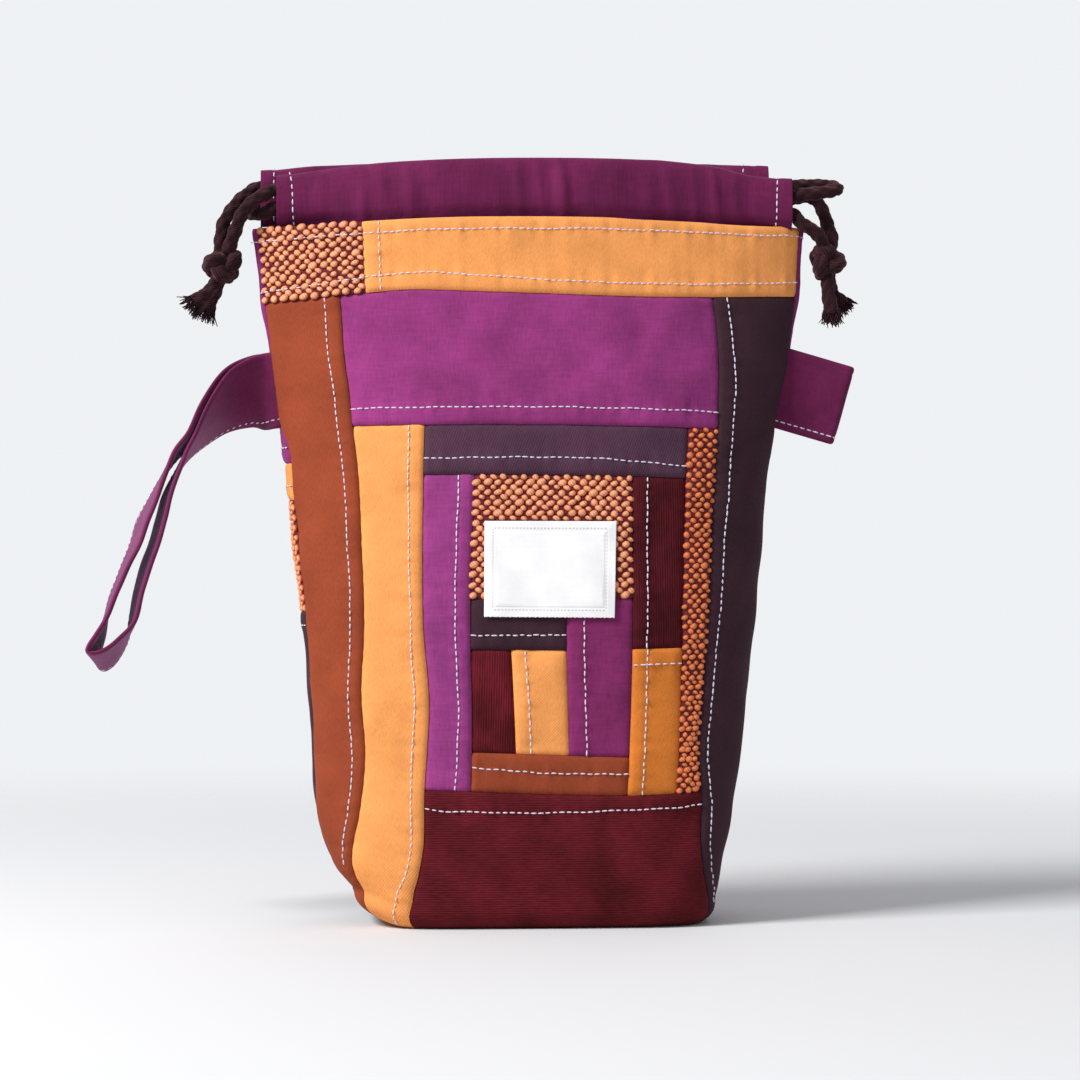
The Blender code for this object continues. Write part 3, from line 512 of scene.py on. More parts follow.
def back_top(s):
    """The top edge of the back, a little higher than that of the front but not at its ends."""
    return TOP_EDGE(s) + 2 * MM * np.clip((102 * MM - np.abs(s)) / (6 * MM), 0, 1)


def left_side(t):
    """The left side seam on the front panel."""
    return LEFT_PULL(t) - side_edge(np.asarray(t, float))


def right_side(t):
    """The right side seam on the front panel."""
    return side_edge(np.asarray(t, float)) - RIGHT_PULL(t)


def left_behind(t):
    """The left side seam as a place on the back panel."""
    return -side_edge(np.asarray(t, float)) - LEFT_PULL(t)


def right_behind(t):
    """The right side seam as a place on the back panel."""
    return side_edge(np.asarray(t, float)) + RIGHT_PULL(t)


# %% [markdown]
# ## Topstitched seams
# Inside a pressed seam the spare cloth is folded to one side and sewn down. That side stands
# a little higher, the stitching pulls a groove into it, and the cloth puckers along it. So a
# scrap's entry says how far from which of its seams the stitching runs, and the height of the
# cloth follows from that.

# %% Scraps: side, four lines, cloth, and stitching as {seam: distances from it}
SCRAPS = {
    "band_weave_block": (-1, left_side, BLOCK_SEAM, BAND_SEAM, TOP_EDGE, "ground",
                         {"top": ((-104, 5.1), (-63, 4.6)), "low": ((-104, 3.9), (-80, 4.6), (-63, 5.6))}),
    "band_gold": (-1, BLOCK_SEAM, right_side, BAND_SEAM, TOP_EDGE, "gold",
                  {"top": ((-63, 4.5), (10, 4.7), (104, 3.3)), "left": ((234, 5.8), (261, 6.3)),
                   "low": ((-63, 5.7), (-36, 6.3), (8, 4.8), (70, 4.6), (104, 5.3))}),
    "rust_side_strip": (-1, left_side, RUST_SEAM, None, BAND_SEAM, "rust",
                        {"right": ((25, 3.2), (43, 4), (60, 4.6), (110, 4.6), (232, 5.9))}),
    "violet_upper_panel": (-1, RUST_SEAM, PLUM_SEAM, VIOLET_SEAM, BAND_SEAM, "violet",
                           {"low": ((-67, 6.2), (0, 6.3), (69, 6.1))}),
    "plum_side_strip": (-1, PLUM_SEAM, right_side, None, BAND_SEAM, "plum",
                        {"left": ((8, 3.4), (35, 3.8), (55, 3.4), (84, 3.6), (176, 5.9),
                                  (199, 6.5), (232, 5.2))}),
    "gold_strip": (-1, RUST_SEAM, GOLD_SEAM, None, VIOLET_SEAM, "gold",
                   {"right": ((6, 5.7), (13, 5.8), (22, 4.6), (33, 4.4), (45, 4.8), (60, 5.3),
                              (96, 5.2), (112, 4.3), (184, 5.8))}),
    "plum_bar": (-1, GOLD_SEAM, CORD_SEAM, PLUM_BAR_SEAM, VIOLET_SEAM, "plum_light",
                 {"low": ((-40, 5.8), (-5, 6.4), (20, 6.4), (37, 5.4), (58, 4.2))}),
    # This strip is in the lighter violet, as painted light.
    "violet_strip": (-1, GOLD_SEAM, VIOLET_STRIP_SEAM, BASE_SEAM, PLUM_BAR_SEAM, "violet_painted_light",
                     {"right": ((50, 5.7), (80, 4.8), (110, 5.5), (166, 5.8))}),
    "weave_block": (-1, VIOLET_STRIP_SEAM, WEAVE_SEAM, WEAVE_LOW_SEAM, PLUM_BAR_SEAM, "ground", {}),
    # This strip is in the darkened wine, as painted shade.
    "wine_strip": (-1, WEAVE_SEAM, CORD_SEAM, CORD_LOW_SEAM, PLUM_BAR_SEAM, "wine_painted_shade",
                   {"left": ((102, 5.2), (166, 5.4))}),
    # This strip is in the darkened gold, as painted shade.
    "gold_short_strip": (-1, WEAVE_SEAM, CORD_SEAM, BASE_SEAM, CORD_LOW_SEAM, "gold_painted_shade",
                         {"left": ((49, 5.4), (102, 5.4)), "top": ((36, 5.8), (55, 5.8))}),
    "weave_strip": (-1, CORD_SEAM, PLUM_SEAM, BASE_SEAM, VIOLET_SEAM, "ground", {}),
    "plum_small_bar": (-1, VIOLET_STRIP_SEAM, BAR_SEAM, SMALL_BAR_SEAM, WEAVE_LOW_SEAM, "plum",
                       {"low": ((-23, 5.1), (12, 5.5))}),
    "wine_patch": (-1, VIOLET_STRIP_SEAM, WINE_SEAM, RUST_BAR_SEAM, SMALL_BAR_SEAM, "wine_upright", {}),
    "gold_patch": (-1, WINE_SEAM, AMBER_SEAM, RUST_BAR_SEAM, SMALL_BAR_SEAM, "gold",
                   {"left": ((63, 5.5), (85, 5.4), (102, 4.9))}),
    # This patch is in the darker violet, as painted shade.
    "violet_patch": (-1, VIOLET_PATCH_SEAM, WEAVE_SEAM, RUST_BAR_SEAM, WEAVE_LOW_SEAM, "violet_painted_shade",
                     {"left": ((63, 6.4), (121, 6.4))}),
    "rust_bar": (-1, VIOLET_STRIP_SEAM, WEAVE_SEAM, BASE_SEAM, RUST_BAR_SEAM, "rust",
                 {"top": ((-22, 5.5), (5, 6.7), (36, 6))}),
    "wine_base": (-1, GOLD_SEAM, PLUM_SEAM, None, BASE_SEAM, "wine",
                  {"top": ((-38, 6.7), (-30, 7.5), (-4, 7), (20, 6), (36, 5.1), (62, 5.1))}),
    "back_violet_panel": (1, left_behind, BACK_SIDE_SEAM, BACK_VIOLET_SEAM, back_top, "violet",
                          {"low": ((-104, 5.8), (106, 5.8)), "top": ((-104, 5), (106, 5))}),
    "back_gold_strip": (1, left_behind, BACK_SIDE_SEAM, BACK_GOLD_SEAM, BACK_VIOLET_SEAM, "gold",
                        {"low": ((-104, 5.4), (106, 5.4))}),
    "back_weave_strip": (1, left_behind, BACK_SIDE_SEAM, BACK_WEAVE_SEAM, BACK_GOLD_SEAM, "ground", {}),
    "back_plum_base": (1, left_behind, BACK_SIDE_SEAM, None, BACK_WEAVE_SEAM, "plum",
                       {"top": ((-104, 5.6), (106, 5.6))}),
    "back_violet_side": (1, BACK_SIDE_SEAM, right_behind, None, back_top, "violet",
                         {"left": ((5, 5), (262, 5.4)), "top": ((60, 5), (106, 3.4))}),
}
STITCH_PITCH = 2.6 * MM
SEAM_DIP = 0.85 * MM
WEAVE_DIP = 0.45 * MM
WEAVE_SINK = 0.3 * MM
SPARE_CLOTH = 0.4 * MM
GROOVE = 0.45 * MM
PUCKER = 0.36 * MM
PUFF = 0.5 * MM


def offset_line(points):
    """A line of straight pieces given in millimetres, as a function in metres."""
    xs, ys = [[p[k] * MM for p in points] for k in (0, 1)]
    return lambda at: np.interp(at, xs, ys)


def ripple(along, seed):
    """An uneven wave, as the puckers along a line of stitching."""
    a = along / MM
    waves = np.sin(a / 1.05 + seed) + 0.8 * np.sin(a / 1.63 + 2 * seed)
    return (waves + 0.7 * np.sin(a / 0.71 + seed * 3)) / 2.2


def folds(side, s, t):
    """Soft creases in the cloth, a few tenths of a millimetre high."""
    a, b = s / MM, t / MM
    total = 0.8 * np.sin(a / 5.1 + 0.22 * b + side) * np.sin(b / 17 + a / 31)
    total = total + 0.7 * np.sin(b / 4.3 - 0.11 * a + 2) * np.sin(a / 13 + b / 40 + 1)
    total = total + 0.6 * np.sin((a + b) / 6.7 + 4) * np.sin((a - b) / 15)
    total = total + 0.5 * np.sin((a - 0.6 * b) / 3.1) * np.sin(a / 21 + 2) * np.sin(b / 19 + 3)
    return total * 0.24 * MM


def edge_distances(name, s, t):
    """How far a place is from each of the scrap's four seams."""
    side, left, right, low, top, cloth, stitched = SCRAPS[name]
    under = t - FLAT_START + 20 * MM if low is None else t - low(s)
    return {"left": s - left(t), "right": right(t) - s, "low": under, "top": top(s) - t}


def cloth_height(name, s, t):
    """How far the finished cloth stands above the body at a place on a scrap."""
    side, left, right, low, top, cloth, stitched = SCRAPS[name]
    gaps = edge_distances(name, s, t)
    across = np.clip(gaps["left"] / (gaps["left"] + gaps["right"]), 0, 1)
    up = np.clip(gaps["low"] / (gaps["low"] + gaps["top"]), 0, 1)
    height = PUFF * np.minimum(1, 6 * across * (1 - across)) * np.minimum(1, 6 * up * (1 - up))
    height = height + folds(side, s, t)
    for edge, gap in gaps.items():
        if edge == "low" and low is None:
            continue
        along = t if edge in ("left", "right") else s
        dip = WEAVE_DIP if cloth == "ground" else SEAM_DIP
        height = height - dip * np.exp(-((np.maximum(gap, 0) / (0.85 * MM)) ** 1.3))
        if edge in stitched:
            line = offset_line(stitched[edge])(along)
            spare = np.clip((line + 1.6 * MM - gap) / (1.4 * MM), 0, 1)
            height = height + SPARE_CLOTH * spare * spare * (3 - 2 * spare)
            pull = 0.8 + 0.2 * np.cos(2 * math.pi * along / STITCH_PITCH)
            height = height - GROOVE * pull * np.exp(-(((gap - line) / (0.6 * MM)) ** 2))
            near = np.exp(-np.abs(gap - line) / (3.2 * MM))
            height = height + PUCKER * near * ripple(along, len(name))
        else:
            height = height + 0.12 * MM * np.exp(-gap / (3 * MM)) * ripple(along, len(name) + 2)
    calm = np.clip((t - 1 * MM) / (10 * MM), 0, 1)
    sink = WEAVE_SINK if cloth == "ground" else 0
    return (height - sink) * calm


print("scraps:", len(SCRAPS))

# %% [markdown]
# ## Cutting a scrap
# A scrap becomes a grid of points between its four lines, closer together near the seams
# where the height changes fast. A second layer under it gives the cloth its thickness, as
# Solidify would, but here the turn at the edge can stay thin and crisp.

# %% Grid helpers
CLOTH_THICKNESS = 1.0 * MM
FRONT_STEP, BACK_STEP = 1.1 * MM, 2.1 * MM
NEAR_SEAM = (0, 0.25, 0.55, 0.9, 1.4, 2.0)
MERGE_BELOW = 0.02 * MM
TINY_EDGE = 0.005 * MM


def stops_between(length, step):
    """Fractions of a length, close together at both ends."""
    near = [v * MM for v in NEAR_SEAM if v * MM < length * 0.4]
    inner = max(2, int(round((length - 2 * near[-1]) / step)))
    middle = list(np.linspace(near[-1], length - near[-1], inner + 1))
    stops = near[:-1] + middle + [length - v for v in reversed(near[:-1])]
    return np.array(stops) / length


def build_mesh(name, verts, faces, place, finish):
    """A smooth mesh object with its place attribute; points that meet become one."""
    mesh = bpy.data.meshes.new(name)
    mesh.from_pydata(verts.tolist(), [], faces.tolist() if hasattr(faces, "tolist") else faces)
    attribute = mesh.attributes.new("place", "FLOAT_VECTOR", "POINT")
    attribute.data.foreach_set("vector", np.asarray(place, np.float32).ravel())
    form = bmesh.new()
    form.from_mesh(mesh)
    bmesh.ops.remove_doubles(form, verts=form.verts, dist=MERGE_BELOW)
    bmesh.ops.dissolve_degenerate(form, edges=form.edges, dist=TINY_EDGE)
    bmesh.ops.recalc_face_normals(form, faces=form.faces)
    form.to_mesh(mesh)
    form.free()
    mesh.shade_smooth()
    mesh.materials.append(finish)
    obj = bpy.data.objects.new(name, mesh)
    bpy.context.scene.collection.objects.link(obj)
    return obj


def mesh_from_grid(name, outer, inner, place, finish):
    """A closed sheet from outer and inner grids of points, joined by a wall round the edge."""
    rows, columns = outer.shape[:2]
    count = rows * columns
    index = np.arange(count).reshape(rows, columns)
    a, b = index[:-1, :-1].ravel(), index[:-1, 1:].ravel()
    c, d = index[1:, 1:].ravel(), index[1:, :-1].ravel()
    top = np.stack([a, b, c, d], axis=1)
    under = top[:, ::-1] + count
    rim = np.concatenate([index[0, :], index[1:, -1], index[-1, -2::-1], index[-2:0:-1, 0]])
    after = np.roll(rim, -1)
    wall = np.stack([after, rim, rim + count, after + count], axis=1)
    faces = np.concatenate([top, under, wall])
    verts = np.concatenate([outer.reshape(-1, 3), inner.reshape(-1, 3)])
    return build_mesh(name, verts, faces, np.concatenate([place.reshape(-1, 3)] * 2), finish)


def scrap_grid(name, step):
    """(s, t) for every point of a scrap's grid, from its lower left corner up."""
    side, left, right, low, top, cloth, stitched = SCRAPS[name]
    bottom = (lambda s: np.full_like(s, FLAT_START)) if low is None else low
    middle_t = float(bottom(np.array([0.0]))[0] + top(np.array([0.0]))[0]) / 2
    width = float(right(np.array(middle_t)) - left(np.array(middle_t)))
    middle_s = float(right(np.array(middle_t)) + left(np.array(middle_t))) / 2
    tall = float(top(np.array([middle_s]))[0] - bottom(np.array([middle_s]))[0])
    u, v = np.meshgrid(stops_between(width, step), stops_between(tall, step))
    s = middle_s + (u - 0.5) * width
    t = middle_t + (v - 0.5) * tall
    for _ in range(8):
        t = bottom(s) + (top(s) - bottom(s)) * v
        s = left(t) + (right(t) - left(t)) * u
    return s, t, width, tall


def under_rows(side, contour, rows=9):
    """The rest of a base scrap: flat under the bag to the middle seam, or round a boxed corner."""
    left_x = bare_point(-1, np.array(BOX_LEFT_S), np.array(FLAT_START))[0]
    right_x = bare_point(-1, np.array(BOX_RIGHT_S), np.array(FLAT_START))[0]
    seam_y = BASE_SEAM_Y + side * 0.1 * MM
    out = []
    for k in np.linspace(1, 0, rows + 1)[1:]:
        row = contour.copy()
        inside = (contour[:, 0] >= left_x) & (contour[:, 0] <= right_x)
        row[inside, 1] = seam_y + (contour[inside, 1] - seam_y) * k
        line = np.where(contour[:, 0] < left_x, left_x, right_x)
        row[~inside, 0] = (line + (contour[:, 0] - line) * k)[~inside]
        out.append(row)
    return np.array(out)


def under_place(s, count, start, end):
    """The places of those rows: straight on from the panel, from `start` up to `end`."""
    rows = np.linspace(start, end, count)
    return np.stack([np.tile(s, (count, 1)), np.repeat(rows[:, None], len(s), 1),
                     np.zeros((count, len(s)))], axis=-1)


print("a front scrap 60 mm wide has", len(stops_between(60 * MM, FRONT_STEP)), "columns")

# %% [markdown]
# Every scrap is now made in one loop. The front gets a finer grid than the back, because it
# is what is looked at. A scrap that reaches the ground goes on under the bag, and its lowest
# rows may not sink below the table top, so they are held up to it.

# %% Sew the patchwork
face_count = 0
for name, (side, left, right, low, top, cloth, stitched) in SCRAPS.items():
    s, t, width, tall = scrap_grid(name, FRONT_STEP if side < 0 else BACK_STEP)
    height = cloth_height(name, s, t)
    outer = cloth_point(side, s, t, height)
    inner = cloth_point(side, s, t, np.minimum(height, 0) - CLOTH_THICKNESS)
    place = np.stack([s, t, np.zeros_like(s)], axis=-1)
    if low is None:
        under = under_rows(side, outer[0])[::-1]
        lift = np.array([0, 0, CLOTH_THICKNESS])
        start, end = FLAT_START - 36 * MM, FLAT_START - 4 * MM
        under[..., 2] = corner_lift(under[..., 0])
        outer[..., 2] = np.maximum(outer[..., 2], corner_lift(outer[..., 0]))
        inner[..., 2] = np.maximum(inner[..., 2], corner_lift(inner[..., 0]) + CLOTH_THICKNESS)
        outer = np.concatenate([under, outer])
        inner = np.concatenate([under + lift, inner])
        place = np.concatenate([under_place(s[0], len(under), start, end), place])
    obj = mesh_from_grid(name + "_cloth", outer, inner, place, FINISHES[cloth])
    face_count += len(obj.data.polygons)
    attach(obj, "root")
    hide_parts(name)
print("cloth pieces:", len(SCRAPS), "with", face_count, "faces")

# %% [markdown]
# ## Topstitching with Geometry Nodes
# A row of stitches is the same small thread shape, again and again along a line. So the line
# is made once, lying in the groove of the cloth, and Geometry Nodes cut it at the stitch
# pitch and put a stitch at every cut. Each point of the line carries `out`, the direction out
# of the cloth, so that stitches lie flat. By hand it would be well over a thousand small jobs.

# %% Thread finish
def thread_finish(name, colour):
    """Twisted thread: light and slightly glossy, with fine turns round it and painted shade between them."""
    material, tree, shader, place = new_finish(name, 0.55, 0.2)
    where = tree.nodes.new("ShaderNodeTexCoord").outputs["Object"]
    strands = bands(tree, turned(tree, where, 0.8), 0.35 * MM, 1.0, "DIAGONAL")
    fuzz = clouds(tree, where, 0.6 * MM, 2, 1.0)
    base = ramp(tree, fuzz, shade(colour, 0.8), shade(colour, 1.15))
    # Painted shade between the turns of the thread.
    lines = ramp(tree, strands, (0.7, 0.7, 0.7), (1, 1, 1))
    tree.links.new(blended(tree, 0.5, base, lines, "MULTIPLY"), shader.inputs["Base Color"])
    raised(tree, shader, ((strands, 0.06 * MM, 0.5),))
    return material


THREAD_FINISH = thread_finish("topstitch_thread", THREAD)


# %% [markdown]
# The trees are built in code, so every node and link can be read here. A tree takes a guide
# mesh and a few named sizes, puts one small mesh at every point of the guide, and makes the
# copies real at its end, because the result is kept as plain mesh.

# %% Node tree helpers
def new_tree(name, labels):
    """A node tree with a mesh going in and out, and named sizes and a seed as inputs."""
    tree = bpy.data.node_groups.new(name, "GeometryNodeTree")
    tree.interface.new_socket("Geometry", in_out="INPUT", socket_type="NodeSocketGeometry")
    tree.interface.new_socket("Geometry", in_out="OUTPUT", socket_type="NodeSocketGeometry")
    sockets = {}
    for label in (*labels, "Seed"):
        kind = "NodeSocketInt" if label == "Seed" else "NodeSocketFloat"
        sockets[label] = tree.interface.new_socket(label, in_out="INPUT", socket_type=kind).identifier
    return tree, tree.nodes.new("NodeGroupInput"), tree.nodes.new("NodeGroupOutput"), sockets


def named_vector(tree, name):
    """Reads a direction that the guide carries."""
    node = tree.nodes.new("GeometryNodeInputNamedAttribute")
    node.data_type = "FLOAT_VECTOR"
    node.inputs["Name"].default_value = name
    return node.outputs["Attribute"]


def facing(tree, out, along):
    """A turn that puts Z out of the cloth and X along the line."""
    up = tree.nodes.new("FunctionNodeAlignRotationToVector")
    up.axis = "Z"
    tree.links.new(out, up.inputs["Vector"])
    ahead = tree.nodes.new("FunctionNodeAlignRotationToVector")
    ahead.axis = "X"
    ahead.pivot_axis = "Z"
    tree.links.new(up.outputs["Rotation"], ahead.inputs["Rotation"])
    tree.links.new(along, ahead.inputs["Vector"])
    return ahead.outputs["Rotation"]


def random_value(tree, inputs, low, high):
    """A different number, or vector, for every point, always the same for one seed."""
    node = tree.nodes.new("FunctionNodeRandomValue")
    is_vector = isinstance(low, tuple)
    node.data_type = "FLOAT_VECTOR" if is_vector else "FLOAT"
    first = 0 if is_vector else 2
    node.inputs[first].default_value = low
    node.inputs[first + 1].default_value = high
    tree.links.new(inputs.outputs["Seed"], node.inputs["Seed"])
    return node.outputs[0 if is_vector else 1]


def calculated(tree, kind, operation, a, b):
    """The result of a Math or Vector Math node on two values."""
    node = tree.nodes.new(kind)
    node.operation = operation
    tree.links.new(a, node.inputs[0])
    tree.links.new(b, node.inputs["Scale" if operation == "SCALE" else 1])
    return node.outputs[0]


def close_tree(tree, put, output, finish):
    """Makes the copies real, gives them their finish and sends them out."""
    real = tree.nodes.new("GeometryNodeRealizeInstances")
    tree.links.new(put.outputs["Instances"], real.inputs["Geometry"])
    paint = tree.nodes.new("GeometryNodeSetMaterial")
    paint.inputs["Material"].default_value = finish
    tree.links.new(real.outputs["Geometry"], paint.inputs["Geometry"])
    tree.links.new(paint.outputs["Geometry"], output.inputs["Geometry"])


def grown(name, base, tree, sockets, values, finish):
    """Runs a node tree on a base mesh and returns the result as a plain mesh object."""
    modifier = base.modifiers.new("nodes", "NODES")
    modifier.node_group = tree
    for label, value in values.items():
        modifier[sockets[label]] = value
    bpy.context.view_layer.update()
    graph = bpy.context.evaluated_depsgraph_get()
    mesh = bpy.data.meshes.new_from_object(base.evaluated_get(graph))
    mesh.name = name
    if finish.name not in [m.name for m in mesh.materials if m]:
        mesh.materials.clear()
        mesh.materials.append(finish)
    bpy.data.objects.remove(base)
    obj = bpy.data.objects.new(name, mesh)
    bpy.context.scene.collection.objects.link(obj)
    mesh.shade_smooth()
    return obj


def guide(name, points, out, edges=(), extra=()):
    """A mesh of loose points or lines that carries `out` and other directions."""
    mesh = bpy.data.meshes.new(name)
    mesh.from_pydata(np.asarray(points).tolist(), list(edges), [])
    for label, values in (("out", out), *extra):
        kind = "FLOAT_VECTOR" if np.ndim(values) == 2 else "FLOAT"
        attribute = mesh.attributes.new(label, kind, "POINT")
        field = "vector" if kind == "FLOAT_VECTOR" else "value"
        attribute.data.foreach_set(field, np.asarray(values, np.float32).ravel())
    obj = bpy.data.objects.new(name, mesh)
    bpy.context.scene.collection.objects.link(obj)
    return obj


# %% [markdown]
# The first tree is the one for stitches. Its guide is a line, so it is turned into a curve and
# cut at the pitch, and every cut point gets a ball, stretched along the line. A random number
# makes one stitch a little longer than the next.

# %% The stitch tree
def stitch_tree(finish):
    """Cuts a line at the pitch, and puts a long flat ball of thread at every cut."""
    labels = ("Pitch", "Stitch length", "Thread width")
    tree, inputs, output, sockets = new_tree("topstitches", labels)
    link = tree.links.new
    line = tree.nodes.new("GeometryNodeMeshToCurve")
    link(inputs.outputs["Geometry"], line.inputs["Mesh"])
    cut = tree.nodes.new("GeometryNodeResampleCurve")
    cut.mode = "LENGTH"
    link(line.outputs["Curve"], cut.inputs["Curve"])
    link(inputs.outputs["Pitch"], cut.inputs["Length"])
    ball = tree.nodes.new("GeometryNodeMeshUVSphere")
    ball.inputs["Segments"].default_value = 7
    ball.inputs["Rings"].default_value = 6
    ball.inputs["Radius"].default_value = 0.5
    put = tree.nodes.new("GeometryNodeInstanceOnPoints")
    tangent = tree.nodes.new("GeometryNodeInputTangent")
    link(cut.outputs["Curve"], put.inputs["Points"])
    link(ball.outputs["Mesh"], put.inputs["Instance"])
    turn = facing(tree, named_vector(tree, "out"), tangent.outputs["Tangent"])
    link(turn, put.inputs["Rotation"])
    vary = random_value(tree, inputs, 0.78, 1.14)
    longer = calculated(tree, "ShaderNodeMath", "MULTIPLY", inputs.outputs["Stitch length"], vary)
    size = tree.nodes.new("ShaderNodeCombineXYZ")
    link(longer, size.inputs["X"])
    link(inputs.outputs["Thread width"], size.inputs["Y"])
    link(inputs.outputs["Thread width"], size.inputs["Z"])
    link(size.outputs["Vector"], put.inputs["Scale"])
    close_tree(tree, put, output, finish)
    return tree, sockets


STITCHES, STITCH_SOCKETS = stitch_tree(THREAD_FINISH)
STITCH_LENGTH = 2.2 * MM
THREAD_WIDTH = 0.6 * MM


def sew(name, lines):
    """Stitches along every (points, out) line, as one piece."""
    points, outs, edges = [], [], []
    for line, out in lines:
        first = sum(len(p) for p in points)
        points.append(line)
        outs.append(out)
        edges += [(first + i, first + i + 1) for i in range(len(line) - 1)]
    base = guide(name + "_line", np.concatenate(points), np.concatenate(outs), edges)
    values = {"Pitch": STITCH_PITCH, "Stitch length": STITCH_LENGTH,
              "Thread width": THREAD_WIDTH, "Seed": 3}
    obj = grown(name, base, STITCHES, STITCH_SOCKETS, values, THREAD_FINISH)
    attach(obj, "root")
    print(name, "faces:", len(obj.data.polygons))


# %% [markdown]
# A stitch line runs at its measured distance from the seam, from one crossing seam to the
# next. Where it ends depends on where it lies, so both are worked out in turn a few times.
# A slow wobble keeps the rows from looking ruled.

# %% Sew the panels
STITCH_STARTS = {"rust_side_strip": 22.5 * MM, "gold_strip": 1 * MM}
STITCH_START = 9 * MM
STITCH_END = 1.2 * MM
STITCH_SINK = 0.05 * MM
OVER_WEAVE = 0.5 * MM


def stitch_line(name, edge):
    """The line of stitching along one seam of a scrap, lying in its groove."""
    side, left, right, low, top, cloth, stitched = SCRAPS[name]
    upright = edge in ("left", "right")
    seam_of = {"left": left, "right": right, "low": low, "top": top}[edge]
    sign = 1 if edge in ("left", "low") else -1
    at = np.linspace(0, 1, 400)
    if upright:
        s = np.zeros_like(at)
        for _ in range(6):
            bottom = STITCH_STARTS.get(name, STITCH_START) if low is None else low(s) + STITCH_END
            t = bottom + (top(s) - STITCH_END - bottom) * at
            s = seam_of(t) + sign * offset_line(stitched[edge])(t)
    else:
        t = np.full_like(at, float(seam_of(np.array([0.0]))[0]))
        for _ in range(6):
            a = left(t) + (STITCH_END if left is not left_side else -0.6 * MM)
            b = right(t) - STITCH_END
            s = a + (b - a) * at
            t = seam_of(s) + sign * offset_line(stitched[edge])(s)
    wobble = 0.12 * MM * np.sin(np.arange(len(at)) / 11 + len(name))
    if upright:
        s = s + wobble
    else:
        t = t + wobble
    rise = cloth_height(name, s, t) + THREAD_WIDTH * 0.5 - STITCH_SINK
    if cloth == "ground":
        rise = rise + OVER_WEAVE
    return cloth_point(side, s, t, rise), outward(side, s, t)


for panel, side in (("topstitching_front", -1), ("topstitching_back", 1)):
    lines = []
    for name, entry in SCRAPS.items():
        if entry[0] == side:
            lines += [stitch_line(name, edge) for edge in entry[6]]
    sew(panel, lines)

# %% [markdown]
# ## Basket weave with Geometry Nodes
# The orange cloth is woven from thick yarns, and every crossing shows as a round nub. Big and
# small nubs take turns, and each row is shifted by half a step, like bricks. The same kind of
# tree serves all the orange scraps, built once for each yarn tone, the second being the orange
# darkened as painted shade: it puts a rounded nub at each point and turns it with the cloth.
# How far a point of a nub is over its middle is kept as `crown`, and by it the finish paints
# shade on the sides of the nubs and a paler painted highlight on their tops.

# %% Nub finish and tree
def nub_finish(name, colour):
    """Soft spun yarn: a painted highlight on top, painted shade on the sides and deep rust painted shade between
    the plies.
    """
    material, tree, shader, place = new_finish(name, 0.7, 0.15, (1, 0.6, 0.4))
    where = tree.nodes.new("ShaderNodeTexCoord").outputs["Object"]
    plies = bands(tree, turned(tree, where, 0.6), 0.8 * MM, 1.5, "DIAGONAL")
    fibre = clouds(tree, where, 0.4 * MM, 3, 2.0)
    blotch = clouds(tree, where, 2.4 * MM, 2, 4.0)
    base = ramp(tree, blotch, shade(colour, 0.78), colour, 0.35, 0.65)
    crown = tree.nodes.new("ShaderNodeAttribute")
    crown.attribute_name = "crown"
    # Painted shade on the sides of a nub and a paler painted highlight on its top, by its height.
    sides = ramp(tree, crown.outputs["Fac"], (0.52, 0.2, 0.16), (1, 1.3, 1.5), 0.06, 0.42)
    base = blended(tree, 1.0, base, sides, "MULTIPLY")
    # Painted shade between the plies.
    lines = ramp(tree, plies, (0.62, 0.5, 0.5), (1, 1, 1), 0.1, 0.7)
    base = blended(tree, 0.5, base, lines, "MULTIPLY")
    speck = ramp(tree, fibre, (0.65, 0.55, 0.5), (1, 1, 1), 0.3, 0.6)
    tree.links.new(blended(tree, 0.5, base, speck, "MULTIPLY"), shader.inputs["Base Color"])
    raised(tree, shader, ((plies, 0.15 * MM, 0.5), (fibre, 0.1 * MM, 0.5)))
    return material


NUB_FINISHES = {
    "light": nub_finish("basket_weave_yarn", WEAVE),
    # Painted shade: a darker copy of the orange yarn.
    "deep": nub_finish("basket_weave_yarn_painted_shade", WEAVE_PAINTED_SHADE),
}


